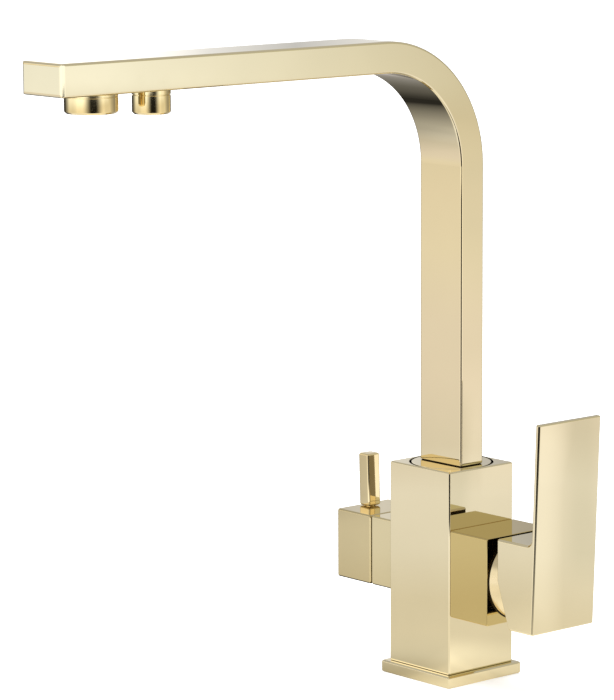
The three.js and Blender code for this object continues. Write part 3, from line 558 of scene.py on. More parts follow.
class SurfaceGroup(Enum):
    """The surface effects that finishes share, each one a node group built once."""

    BUFFING = "buffed_surface"
    GRAIN = "drawn_grain"
    MOULDING = "moulded_skin"

    def tree(self) -> bpy.types.NodeTree:
        """The group's tree, made on its first use."""
        return bpy.data.node_groups.get(self.value) or self._make()

    def texture(self, nodes: Nodes, place: Socket, scale: Socket) -> tuple[Socket, Socket, Socket]:
        """Adds the texture: a mop's faint wave and haze, drawn lines, or a mould's clouded skin.

        Args:
            nodes: the group's nodes.
            place: coordinates on the piece, in metres.
            scale: how fine the texture is.

        Returns:
            The shade, the added roughness and the height.
        """
        middle = (0.3, 0.7)
        if self is SurfaceGroup.BUFFING:
            wave = nodes.noise(place, scale, 2.0)
            haze = nodes.noise(place, nodes.times(scale, 7.0), 5.0)
            shade, rough = nodes.ranged(wave, middle, (0.965, 1.0)), (0.0, 0.03)
            return shade, nodes.ranged(haze, (0.45, 0.8), rough), wave
        if self is SurfaceGroup.GRAIN:
            lengthwise = {"Scale": (1.0, 1.0, 0.06), "Vector": place}
            place = nodes.add("ShaderNodeMapping", lengthwise).outputs[0]
            lines = nodes.noise(place, scale, 6.0)
            shade, rough = nodes.ranged(lines, middle, (0.82, 1.06)), (-0.06, 0.1)
            return shade, nodes.ranged(lines, middle, rough), lines
        fine, cloud = nodes.noise(place, scale, 4.0), nodes.noise(place, 60.0, 2.0)
        return nodes.ranged(cloud, middle, (0.9, 1.0)), nodes.ranged(fine, middle, (-0.05, 0.08)), fine

    def _make(self) -> bpy.types.NodeTree:
        """Makes the tree with its sockets and its nodes.

        Returns:
            The new node group.
        """
        tree = bpy.data.node_groups.new(self.value, "ShaderNodeTree")
        for way, names in (("INPUT", ("Colour", "Roughness", "Amount", "Scale")),
                           ("OUTPUT", ("Colour", "Roughness", "Height"))):
            for name in names:
                kind = "NodeSocketColor" if name == "Colour" else "NodeSocketFloat"
                tree.interface.new_socket(name=name, in_out=way, socket_type=kind)
        nodes = Nodes(tree)
        given = nodes.add("NodeGroupInput").outputs
        place = nodes.add("ShaderNodeTexCoord").outputs["Object"]
        shade, rough, height = self.texture(nodes, place, given["Scale"])
        nodes.add("NodeGroupOutput", {
            "Colour": nodes.mixed(given["Amount"], given["Colour"], shade, "MULTIPLY"),
            "Roughness": nodes.math("ADD", given["Roughness"], nodes.times(rough, given["Amount"])),
            "Height": height,
        })
        return tree


# ---- Finishes ------------------------------------------------------------------------------


@dataclass(frozen=True)
class Finish:
    """A finish whose surface varies through one of the shared groups."""

    name: str
    slot: str
    colour: Colour
    roughness: float
    metallic: float
    group: SurfaceGroup
    amount: float
    scale: float
    depth: float
    coat: float = 0.0

    def material(self) -> bpy.types.Material:
        """The finish as a material, made on its first use.

        Returns:
            The material.
        """
        known = bpy.data.materials.get(self.name)
        if known:
            return known
        material = bpy.data.materials.new(self.name)
        material.use_nodes = True
        nodes = Nodes(material.node_tree)
        given = {"Colour": self.colour, "Roughness": self.roughness, "Amount": self.amount,
                 "Scale": self.scale}
        surface = nodes.add("ShaderNodeGroup", given, node_tree=self.group.tree()).outputs
        bump = nodes.add("ShaderNodeBump", {"Strength": 1.0, "Distance": self.depth * MM,
                                            "Height": surface["Height"]})
        for socket, value in (("Base Color", surface["Colour"]), ("Roughness", surface["Roughness"]),
                              ("Normal", bump.outputs["Normal"]), ("Metallic", self.metallic),
                              ("Coat Weight", self.coat)):
            nodes.feed(value, nodes.tree.nodes["Principled BSDF"], socket)
        return material


def gold(name: str, colour: Colour, roughness: float = 0.02) -> Finish:
    """A tone of the polished gold plating, lighter or darker from piece to piece."""
    return Finish(name, "polished_gold", colour, roughness, 1.0, SurfaceGroup.BUFFING, 1.0, 22.0, 0.006)


def metal(name: str, slot: str, colour: Colour, roughness: float, amount: float,
          scale: float) -> Finish:
    """A bare metal with the lines of the tool that made it."""
    return Finish(name, slot, colour, roughness, 1.0, SurfaceGroup.GRAIN, amount, scale, 0.01)


def moulded(name: str, slot: str, colour: Colour, roughness: float, amount: float, scale: float,
            depth: float, coat: float = 0.0) -> Finish:
    """A plastic, rubber or ceramic that came out of a mould."""
    return Finish(name, slot, colour, roughness, 0.0, SurfaceGroup.MOULDING, amount, scale, depth, coat)


PALE_GOLD = gold("pale_gold", (0.790, 0.685, 0.445))
DEEP_GOLD = gold("deep_gold", (0.620, 0.475, 0.195))
VALVE_GOLD = gold("valve_gold", (0.710, 0.605, 0.360))
KNOB_GOLD = gold("knob_gold", (0.630, 0.520, 0.290))
# Lighter than the plating's own gold, as a painted highlight on the outlets.
OUTLET_GOLD_WITH_PAINTED_HIGHLIGHT = gold("outlet_gold_with_painted_highlight", (0.880, 0.710, 0.380))
PIN_GOLD = gold("pin_gold", (0.890, 0.730, 0.410))
DOME_GOLD = gold("dome_gold", (0.800, 0.665, 0.400), 0.2)
# Near-black painted shade for the insides of bores, wells, hollows and gaps, not a colour of the brass.
BORE_PAINTED_SHADE = metal("bore_painted_shade", "raw_brass", (0.045, 0.033, 0.018), 0.5, 0.8, 700.0)
BARE_BRASS = metal("bare_brass", "raw_brass", (0.54, 0.36, 0.13), 0.32, 0.8, 900.0)
BRUSHED_STEEL = metal("drawn_steel", "plain_steel", (0.48, 0.50, 0.53), 0.28, 0.9, 1200.0)
SEAL_RUBBER = moulded("seal_rubber", "black_rubber", (0.013, 0.013, 0.014), 0.72, 1.0, 1800.0, 0.02)
WHITE_ACETAL = moulded("white_acetal", "white_plastic", (0.80, 0.80, 0.76), 0.38, 0.7, 1400.0, 0.01)
GREY_ACETAL = moulded("grey_acetal", "grey_plastic", (0.16, 0.17, 0.19), 0.42, 0.9, 1400.0, 0.015)
GLAZED_DISC = moulded("lapped_ceramic", "ceramic", (0.86, 0.85, 0.81), 0.14, 0.4, 2400.0, 0.002, 0.3)


class Body(Enum):
    """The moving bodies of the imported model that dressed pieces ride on."""

    FIXED = "tap_body"
    SPOUT = "spout"
    LEVER = "lever"
    FILTER = "filter_handle"


def paint_shade_on(piece: Piece, test: Callable[[Vector], bool]) -> None:
    """Gives a near-black painted shade to those faces whose middle, in mm, passes a test."""
    for face in piece.data.polygons:
        if test(face.center / MM):
            face.material_index = 1


def fitted(piece: Piece, body: Body, finish: Finish, node: str) -> None:
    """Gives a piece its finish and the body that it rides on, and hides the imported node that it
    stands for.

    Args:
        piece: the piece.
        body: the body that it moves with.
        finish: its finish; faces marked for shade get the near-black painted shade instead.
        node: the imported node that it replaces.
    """
    kept = [face.material_index for face in piece.data.polygons]
    piece.data.materials.clear()
    piece.data.materials.append(finish.material())
    if any(kept):
        piece.data.materials.append(BORE_PAINTED_SHADE.material())
    piece.data.polygons.foreach_set("material_index", kept)
    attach(piece, body.value)
    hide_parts(node)
    LOG.info("%s: %d faces, rides on %s", piece.name, len(piece.data.polygons), body.value)


# ---- Base and body -------------------------------------------------------------------------


@dataclass
class Base:
    """The square flange and the square body, open at its top for the spout's foot."""

    body_side: float = 45.0
    body_top: float = 111.7
    flange_side: float = 51.5
    flange_height: float = 6.2
    seat: float = 0.1
    well_radius: float = 21.72
    well_depth: float = 4.5
    well_edge: float = 0.12
    spigot_radius: float = 18.2
    bore_depth: float = 30.0
    keeper_z: float = 104.3
    keeper_radius: float = 2.7
    keeper_depth: float = 3.4
    sink: Pair = (0.3, 0.5)

    def flange(self) -> None:
        """The flange on the worktop."""
        half = self.flange_side / 2
        block = Block("base_flange_piece", Axis.Z, (0, 0), (half, half), (0, self.flange_height))
        fitted(block.build(), Body.FIXED, PALE_GOLD, "base_flange")

    def column(self) -> None:
        """The body, with its well for the swivel disc and the keeper screw's hole in its back."""
        half = self.body_side / 2
        top, r, floor = self.body_top, self.well_radius, self.body_top - self.well_depth
        bore = ((r + self.well_edge, top), (r, top - self.well_edge), (r, floor),
                (self.spigot_radius, floor), (self.spigot_radius, top - self.bore_depth))
        piece = Block("body_column_piece", Axis.Z, (0, 0), (half, half),
                      (self.flange_height + self.seat, top), bore, Edge(0.62, 0.3),
                      Edge(0.16, 0.1)).build()
        centre, keeper = (self.keeper_z, 0), self.keeper_radius
        hole = plain_bar(Axis.Y, keeper, centre, (half - self.keeper_depth, half + TOOL_SPARE))
        wider, deeper = self.sink
        cone = [(keeper + wider - deeper, half - deeper), (keeper + wider + deeper, half + deeper)]
        sink = turned("tool_sink", Axis.Y, centre, cone, sides=48)
        worked(piece, Mode.CUT, hole, sink)
        fitted(piece, Body.FIXED, PALE_GOLD, "body_column")

    def build(self) -> None:
        """Builds the flange and the body."""
        self.flange()
        self.column()


# ---- Spout ---------------------------------------------------------------------------------


@dataclass(frozen=True)
class Outlet:
    """A turned outlet cup with a bevelled lip and a fine groove under its top."""

    name: str
    node: str
    y: float
    radius: float
    height: float
    wall: float
    neck: float
    groove: float
    shelf: float = 7.0
    lip: float = 1.0
    round: float = 0.25
    groove_half: float = 0.2
    groove_depth: float = 0.45
    neck_rise: float = 3.0
    neck_wall: float = 2.0

    def build(self, top: float) -> None:
        """Turns the cup.

        Args:
            top: the height of its top under the arm, in mm.
        """
        low = top - self.height
        r, cup, soft, lip = self.radius, self.radius - self.wall, self.round, self.lip
        mark, half, deep = top - self.groove, self.groove_half, r - self.groove_depth
        neck, end = self.neck, top + self.neck_rise
        hole = neck - self.neck_wall
        profile = [
            (cup, low + soft), (cup + soft, low), (r - lip, low), (r - 0.92 * lip, low + 0.03 * lip),
            (r - 0.06 * lip, low + 0.88 * lip), (r, low + lip),
            (r, mark - 1.5 * half), (r - half / 2, mark - half), (deep, mark - half),
            (deep, mark + half), (r - half / 2, mark + half), (r, mark + 1.5 * half),
            (r, top - soft), (r - soft, top), (neck, top), (neck, end),
            (hole, end), (hole, low + self.shelf), (cup, low + self.shelf),
        ]
        piece = turned(self.name, Axis.Z, (0, self.y), profile, ring=True)
        fitted(piece, Body.SPOUT, OUTLET_GOLD_WITH_PAINTED_HIGHLIGHT, self.node)


@dataclass
class Spout:
    """The rectangular spout, its swivel disc and the two outlets under its tip."""

    width: float = 31.0
    thickness: float = 15.8
    top: float = 331.4
    reach: float = 258.7
    bend_radius: float = 50.0
    tip_round: float = 1.6
    nose_round: float = 2.4
    nose_rows: tuple[float, ...] = (1.45, 1.8, 2.2)
    foot: float = 111.8
    trim: float = 3.0
    foot_gap: float = 0.45
    foot_inset: float = 0.7
    disc_radius: float = 20.55
    disc_top: float = 111.7
    disc_height: float = 3.7
    disc_edge: float = 0.3
    spigot_radius: float = 18.0
    spigot_bottom: float = 81.0
    outlet_gap: float = 0.1
    outlets: tuple[Outlet, ...] = (
        Outlet("aerator_piece", "aerator_housing", -230.1, 12.7, 9.2, 2.0, 9.8, 1.4),
        Outlet("filter_outlet_piece", "filter_outlet_housing", -194.4, 9.25, 11.7, 2.6, 6.2, 2.6),
    )

    def tube(self) -> None:
        """The bent tube, cut flat where it stands on the disc, on a neck with a near-black painted
        shade that shows as a dark line.
        """
        half = self.thickness / 2
        low = self.top - self.thickness
        start = self.foot - self.trim
        shape = Polygon((
            (-half, start, 0), (half, start, 0), (half, low, self.bend_radius),
            (self.reach, low, self.tip_round), (self.reach, self.top, self.tip_round),
            (-half, self.top, self.bend_radius + self.thickness),
        ))
        piece = pushed("spout_tube_piece", shape, self.width, Edge(0.8, 0.9), True, self.nose_rows)
        for vert in piece.data.vertices:
            drop = max(self.width / 2 - abs(vert.co.x) / MM, 0.0)
            inside = max(self.nose_round - drop, 0.0)
            limit = self.reach - self.nose_round + math.sqrt(self.nose_round**2 - inside**2)
            vert.co.y = max(vert.co.y, -limit * MM)
        cut = self.foot + self.foot_gap
        trimmed(piece, cut)
        wide, deep = self.width / 2 - self.foot_inset, half - self.foot_inset
        worked(piece, Mode.JOIN, plain_box((-wide, -deep, self.foot), (wide, deep, self.foot + 1)))
        # The neck below the cut gets the near-black painted shade, which shows as a dark line at the
        # foot.
        paint_shade_on(piece, lambda middle: middle.z < cut - 0.01)
        fitted(piece, Body.SPOUT, PALE_GOLD, "spout_tube")

    def disc(self) -> None:
        """The round disc that turns in the body's top, with the spigot below it."""
        r, top, edge, spigot = self.disc_radius, self.disc_top, self.disc_edge, self.spigot_radius
        low = top - self.disc_height
        profile = [
            (spigot - 0.6, self.spigot_bottom), (spigot, self.spigot_bottom + 0.6), (spigot, low),
            (r - 0.1, low), (r, low + 0.1), (r, top - edge),
            (r - 0.3 * edge, top - 0.3 * edge), (r - edge, top),
        ]
        piece = turned("swivel_disc_piece", Axis.Z, (0, 0), profile)
        # The disc's side below its top edge, down in the well's gap, gets the near-black painted shade.
        paint_shade_on(piece, lambda middle: middle.z < top - edge)
        fitted(piece, Body.SPOUT, PALE_GOLD, "spout_foot")

    def build(self) -> None:
        """Builds the spout's pieces."""
        self.disc()
        self.tube()
        for outlet in self.outlets:
            outlet.build(self.top - self.thickness - self.outlet_gap)


# ---- Mixer ---------------------------------------------------------------------------------


@dataclass
class Mixer:
    """The mixer block and the domed cover over its cartridge."""

    body_half: float = 22.5
    seat: float = 0.1
    length: float = 27.6
    height: float = 45.0
    axis_z: float = 59.3
    bore_radius: float = 17.8
    bore_depth: float = 23.6
    shelf_depth: float = 1.8
    brim_radius: float = 21.9
    brim_height: float = 0.3
    dome_base: float = 21.3
    dome_sphere: float = 22.6
    dome_wall: float = 1.4
    dome_opening: float = 15.0
    nut_radius: float = 19.1
    skirt_wall: float = 1.3

    @property
    def end(self) -> float:
        """Where the block ends along X."""
        return self.body_half + self.length

    def housing(self) -> None:
        """The block on the body's side, bored for the cartridge."""
        skirt, nut, end = self.nut_radius + self.skirt_wall, self.nut_radius, self.end
        shelf, seat = end - self.shelf_depth, end - 2 * self.shelf_depth
        bore = ((skirt, end), (skirt, shelf), (nut, shelf), (nut, seat),
                (self.bore_radius, seat), (self.bore_radius, end - self.bore_depth))
        block = Block("mixer_housing_piece", Axis.X, (0, self.axis_z),
                      (self.body_half, self.height / 2), (self.body_half + self.seat, end), bore,
                      end_edge=Edge(0.2, 0.15))
        fitted(block.build(), Body.FIXED, DEEP_GOLD, "mixer_housing")

    def dome(self) -> None:
        """The domed cover: a thin brim with a near-black painted shade and a spherical cap with its
        opening.
        """
        brim_x = self.end + 0.1
        cap_x = brim_x + self.brim_height
        base_x = cap_x + 0.2
        centre_x = base_x - math.sqrt(self.dome_sphere**2 - self.dome_base**2)
        brim, nut, foot = self.brim_radius, self.nut_radius, self.end - 1.5

        def arc(sphere: float, start: float, end: float, steps: int) -> list[Pair]:
            """Points on a sphere about the dome's centre.

            Args:
                sphere: the sphere's radius.
                start: the first point's distance from the axis.
                end: the last point's distance from the axis.
                steps: how many steps lie between them.

            Returns:
                Pairs of radius and place along the axis.
            """
            a, b = math.asin(start / sphere), math.asin(end / sphere)
            turns = [a + (b - a) * i / steps for i in range(steps + 1)]
            return [(sphere * math.sin(t), centre_x + sphere * math.cos(t)) for t in turns]

        profile = [
            (nut, foot), (nut + 0.7, foot), (nut + 0.7, brim_x), (brim, brim_x), (brim, cap_x),
            (self.dome_base - 0.5, cap_x), (self.dome_base, base_x),
            *arc(self.dome_sphere, self.dome_base - 0.1, self.dome_opening + 0.3, 16),
            *arc(self.dome_sphere - self.dome_wall, self.dome_opening, nut, 8),
        ]
        piece = turned("dome_cover_piece", Axis.X, (0, self.axis_z), profile, ring=True)
        # The foot and the brim behind the cap get the near-black painted shade.
        paint_shade_on(piece, lambda middle: middle.x < cap_x + 0.01)
        fitted(piece, Body.FIXED, DOME_GOLD, "mixer_dome_cover")

    def build(self) -> None:
        """Builds the block and the dome."""
        self.housing()
        self.dome()


@dataclass
class Lever:
    """The lever: a hollow hub on the cartridge's stem and a tall leaning plate, in one casting."""

    axis_z: float = 59.3
    back: float = 56.2
    top: float = 82.85
    bottom: float = 37.2
    wall: float = 2.5
    heel_cut: float = 8.1
    heel_rise: float = 24.3
    heel_round: float = 2.4
    fillet: float = 3.4
    width: float = 43.8
    plate: float = 3.2
    foot_x: float = 81.89
    plate_top: float = 144.6
    plate_round: float = 0.9
    corner_round: float = 1.0
    lean_degrees: float = 2.32
    end_wall: float = 2.0
    boss_half: float = 8.0
    boss_drop: float = 10.5
    boss_start: float = 9.4
    stem_half: float = 4.15
    stem_end: float = 74.4
    plug_radius: float = 3.15
    screw_radius: float = 2.05

    def outer_x(self, z: float) -> float:
        """The plate's outside at a height."""
        return self.foot_x + (z - self.bottom) * math.tan(math.radians(self.lean_degrees))

    def inner_x(self, z: float) -> float:
        """The plate's inside at a height."""
        return self.outer_x(z) - self.plate

    def outline(self) -> Polygon:
        """The handle seen from the side.

        Returns:
            The outline, from the heel round the plate to the hub's top.
        """
        return Polygon((
            (self.back, self.bottom + self.heel_rise, self.heel_round),
            (self.back + self.heel_cut, self.bottom, self.heel_round),
            (self.outer_x(self.bottom), self.bottom, self.corner_round),
            (self.outer_x(self.plate_top), self.plate_top, self.plate_round),
            (self.inner_x(self.plate_top), self.plate_top, self.plate_round),
            (self.inner_x(self.top), self.top, self.fillet),
            (self.back, self.top, self.corner_round),
        ))

    def build(self) -> None:
        """Builds the handle with its hollow, its boss and its screw's hole."""
        piece = pushed("lever_handle_piece", self.outline(), self.width, Edge(1.0, 0.6), False)
        z, stem = self.axis_z, self.stem_half
        half = self.width / 2 - self.wall
        low, high = self.bottom + self.wall, self.top - self.wall
        hollow_end = self.inner_x(self.bottom) - self.end_wall
        boss_x = self.back + self.boss_start
        screw_x = (boss_x + self.stem_end - 0.3) / 2
        worked(piece, Mode.CUT, plain_box((self.back - TOOL_SPARE, -half, low),
                                          (hollow_end, half, high)))
        worked(piece, Mode.JOIN, plain_box((boss_x, -self.boss_half, z - self.boss_drop),
                                           (hollow_end + 1, self.boss_half, z + self.boss_half)))
        worked(piece, Mode.CUT,
               plain_box((self.back, -stem, z - stem), (self.stem_end, stem, z + stem)),
               plain_bar(Axis.Z, self.plug_radius, (screw_x, 0),
                         (self.bottom - TOOL_SPARE, low + 0.1)),
               plain_bar(Axis.Z, self.screw_radius, (screw_x, 0), (z - self.boss_drop - 1, z)))
        # The hollow's inside gets the near-black painted shade.
        paint_shade_on(piece, lambda middle: middle.x < hollow_end + 0.1 and abs(middle.y) < half + 0.05
                   and low - 0.05 < middle.z < high + 0.05)
        fitted(piece, Body.LEVER, PALE_GOLD, "lever_handle")


# ---- Filtered water valve ------------------------------------------------------------------


@dataclass
class FilterValve:
    """The square valve block, its square knob and the pin that stands on it."""

    side: float = 36.6
    axis_z: float = 60.8
    body_half: float = 22.5
    seat: float = 0.1
    length: float = 19.1
    gap: float = 0.7
    knob_length: float = 26.1
    bore_radius: float = 11.9
    bore_depth: float = 15.0
    shelf_depth: float = 3.6
    shank_radius: float = 9.3
    recess_radius: float = 13.5
    recess_depth: float = 8.0
    spindle_radius: float = 4.15
    screw_radius: float = 2.05
    pin_side: float = 8.0
    pin_length: float = 28.0
    pin_inset: float = 6.1
    pin_gap: float = 0.35
    pin_lean_degrees: float = 1.7
    pin_turn_degrees: float = 1.4
    pin_slant: float = 0.06
    pin_twist_degrees: float = 4.5
    pin_tail: float = 2.4
    tail_length: float = 5.6
    tail_gap: Pair = (0.3, 0.7)
    spindle_depth: float = 16.7

    @property
    def block_end(self) -> float:
        """Where the fixed block ends along X."""
        return -self.body_half - self.length

    @property
    def knob_end(self) -> float:
        """The knob's outer face along X."""
        return self.block_end - self.gap - self.knob_length

    def standing(self, piece: Piece) -> Piece:
        """Stands a piece made at the origin on the knob, leaning outwards.

        Args:
            piece: the pin, or the tool for its hole.

        Returns:
            The same piece, with its place in its mesh.
        """
        foot = Vector((self.knob_end + self.pin_inset, 0, self.axis_z + self.side / 2)) * MM
        lean = Matrix.Rotation(-math.radians(self.pin_lean_degrees), 4, "Y")
        twist = Matrix.Rotation(-math.radians(self.pin_twist_degrees), 4, "Z")
        piece.data.transform(Matrix.Translation(foot) @ lean @ twist)
        return piece

    def housing(self) -> None:
        """The fixed block, bored for the headwork."""
        half, end, shank = self.side / 2, self.block_end, self.shank_radius
        shelf = end + self.shelf_depth
        bore = ((self.bore_radius, end), (self.bore_radius, shelf), (shank, shelf),
                (shank, end + self.bore_depth))
        block = Block("filter_valve_piece", Axis.X, (0, self.axis_z), (half, half),
                      (-self.body_half - self.seat, end), bore)
        fitted(block.build(), Body.FIXED, VALVE_GOLD, "filter_valve_housing")

    def knob(self) -> None:
        """The square knob, hollow towards the block, with the pin's hole in its top."""
        half, start = self.side / 2, self.block_end - self.gap
        shelf, bottom = start - self.recess_depth, self.block_end - self.spindle_depth
        bore = ((self.recess_radius, start), (self.recess_radius, shelf),
                (self.spindle_radius, shelf), (self.spindle_radius, bottom))
        piece = Block("filter_knob_piece", Axis.X, (0, self.axis_z), (half, half),
                      (self.knob_end, start), bore).build()
        screw_x = (shelf + bottom + 0.3) / 2
        wider, deeper = self.tail_gap
        hole = plain_bar(Axis.Z, self.pin_tail + wider, (0, 0),
                         (-self.tail_length - deeper, TOOL_SPARE))
        worked(piece, Mode.CUT, self.standing(hole),
               plain_bar(Axis.Z, self.screw_radius, (screw_x, 0),
                         (self.axis_z - half - TOOL_SPARE, self.axis_z)))
        fitted(piece, Body.FILTER, KNOB_GOLD, "filter_knob")

    def pin(self) -> None:
        """The slightly slanted and turned pin lever, with its round tail in the knob."""
        half, low = self.pin_side / 2, self.pin_gap
        piece = Block("filter_pin_piece", Axis.Z, (0, 0), (half, half), (low, low + self.pin_length),
                      edge=Edge(0.7, 0.7)).build()
        worked(piece, Mode.JOIN, plain_bar(Axis.Z, self.pin_tail, (0, 0),
                                           (-self.tail_length, TOOL_SPARE)))
        for vert in piece.data.vertices:
            if vert.co.z > low * MM / 2 and vert.co.y < -MM:
                vert.co.y += (vert.co.x - half * MM) * self.pin_slant
            share = max(vert.co.z / MM, 0.0) / self.pin_length
            vert.co.rotate(Matrix.Rotation(-math.radians(self.pin_turn_degrees) * share, 3, "Z"))
        fitted(self.standing(piece), Body.FILTER, PIN_GOLD, "filter_pin_lever")

    def build(self) -> None:
        """Builds the block, the knob and the pin."""
        self.housing()
        self.knob()
        self.pin()


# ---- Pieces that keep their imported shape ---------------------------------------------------


@dataclass(frozen=True)
class InnerPieces:
    """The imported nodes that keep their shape, by the finish that they get."""

    by_finish: tuple[tuple[Finish, tuple[str, ...]], ...] = (
        (BARE_BRASS, ("stud_nut_left", "stud_nut_right", "filtered_elbow", "cartridge_ring_nut",
                      "filter_headwork", "filter_spindle")),
        (BRUSHED_STEEL, ("stud_left", "stud_right", "clamp_plate", "spout_keeper_screw",
                         "cartridge_pivot_pin", "mixer_stem", "lever_set_screw",
                         "filter_knob_screw")),
        (SEAL_RUBBER, ("base_gasket", "clamp_rubber", "spout_seal_lower", "spout_seal_upper",
                       "aerator_washer", "filter_outlet_washer", "mixer_spigot_seal",
                       "mixer_base_seal", "filter_spigot_seal")),
        (WHITE_ACETAL, ("spout_glide_ring", "filtered_tube", "filter_outlet_insert",
                        "cartridge_body")),
        (GREY_ACETAL, ("aerator_insert", "cartridge_turret", "lever_plug")),
        (GLAZED_DISC, ("cartridge_fixed_disc", "cartridge_moving_disc")),
    )

    def build(self, nodes: dict[str, Piece]) -> None:
        """Gives each of them its finish.

        Args:
            nodes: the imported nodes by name.
        """
        for finish, names in self.by_finish:
            for name in names:
                for slot in nodes[name].material_slots:
                    slot.material = finish.material()
            LOG.info("%s: %d packed nodes", finish.name, len(names))


# ---- Studio --------------------------------------------------------------------------------


def grey(value: float) -> Colour:
    """A neutral colour."""
    return (value, value, value)


@dataclass(frozen=True)
class Band:
    """Where something shows along a number: the range where it comes in and where it goes out."""

    rise: Pair | None = None
    fall: Pair | None = None
    smooth: bool = False

    def share(self, nodes: Nodes, value: Socket) -> Socket:
        """How much shows at a number.

        Args:
            nodes: the tree's nodes.
            value: the number.

        Returns:
            The share, from 0 to 1.
        """
        ends = ((self.rise, (0.0, 1.0)), (self.fall, (1.0, 0.0)))
        return nodes.times(*(nodes.ranged(value, source, target, self.smooth)
                             for source, target in ends if source))


@dataclass(frozen=True)
class Patch:
    """A patch of the mirrored floor that is lighter or darker than the floor round it.

    Its bands are the distance from the tap in metres, the direction in degrees, and the offset in
    metres from the diagonal that runs away from the photographer.
    """

    blend: str
    colour: Colour
    distance: Band
    azimuth: Band
    aside: Band | None = None

    def on(self, nodes: Nodes, light: Socket, places: Sequence[Socket]) -> Socket:
        """Lays the patch on the floor's light.

        Args:
            nodes: the floor material's nodes.
            light: the light so far.
            places: the distance, the azimuth and the offset.

        Returns:
            The light with the patch.
        """
        bands = (self.distance, self.azimuth, self.aside)
        shares = [band.share(nodes, place) for band, place in zip(bands, places) if band]
        return nodes.mixed(nodes.times(*shares), light, self.colour, self.blend)


@dataclass(frozen=True)
class DarkRoom:
    """A painted dark room: on the photographer's side the floor's light in mirrors is painted darker,
    so that edges and outlets mirror it as a dark line.

    It starts close to the tap, grows wider with the distance, and is widest where the outlets
    mirror it. Directions are in degrees and distances in metres.
    """

    start: Pair = (0.12, 0.17)
    darkness: float = 0.985
    grows: Pair = (0.38, 0.56)
    widens: Pair = (2.5, 2.8)
    left: Pair = (-42.0, -61.0)
    left_back: float = 19.0
    left_soft: Pair = (3.0, 11.0)
    left_softer: float = 26.0
    least_soft: float = 3.0
    right: Pair = (-34.0, -4.0)
    right_soft: Pair = (8.0, 18.0)
    column_part: Band = Band(fall=(2.15, 2.4))
    outlet_side: Band = Band(rise=(-50.0, -46.0))
    outlet_part: Band = Band(rise=(2.80, 2.90))
    end: Band = Band(fall=(3.80, 3.83))

    def share(self, nodes: Nodes, azimuth: Socket, distance: Socket) -> Socket:
        """How dark the room makes a place.

        Args:
            nodes: the floor material's nodes.
            azimuth: the direction of the place from the tap.
            distance: how far it lies from the tap.

        Returns:
            The share of light that it takes, from 0 to 1.
        """
        def grown(near_far: Pair, further: float) -> Socket:
            """A value that changes where the room grows and again where it widens."""
            return nodes.math("ADD", nodes.ranged(distance, self.grows, near_far),
                              nodes.ranged(distance, self.widens, (0.0, further)))

        left, soft = grown(self.left, self.left_back), grown(self.left_soft, self.left_softer)
        past = nodes.math("ADD", nodes.math("SUBTRACT", azimuth, left), soft)
        past = nodes.math("DIVIDE", past, nodes.math("ADD", soft, self.least_soft))
        right = nodes.ranged(distance, self.widens, self.right)
        before = nodes.math("DIVIDE", nodes.math("SUBTRACT", azimuth, right),
                            nodes.ranged(distance, self.widens, self.right_soft))
        outlets = nodes.math("MAXIMUM", self.outlet_side.share(nodes, azimuth),
                             self.outlet_part.share(nodes, distance))
        return nodes.times(
            nodes.ranged(past, (0.0, 1.0), (0.0, 1.0), smooth=True),
            nodes.ranged(before, (-1.0, 1.0), (1.0, 0.0), smooth=True),
            nodes.ranged(distance, self.start, (0.0, self.darkness)),
            nodes.math("MAXIMUM", self.column_part.share(nodes, distance), outlets),
            self.end.share(nodes, distance),
        )


BACK_SIDE = Band(rise=(18.0, 28.0))


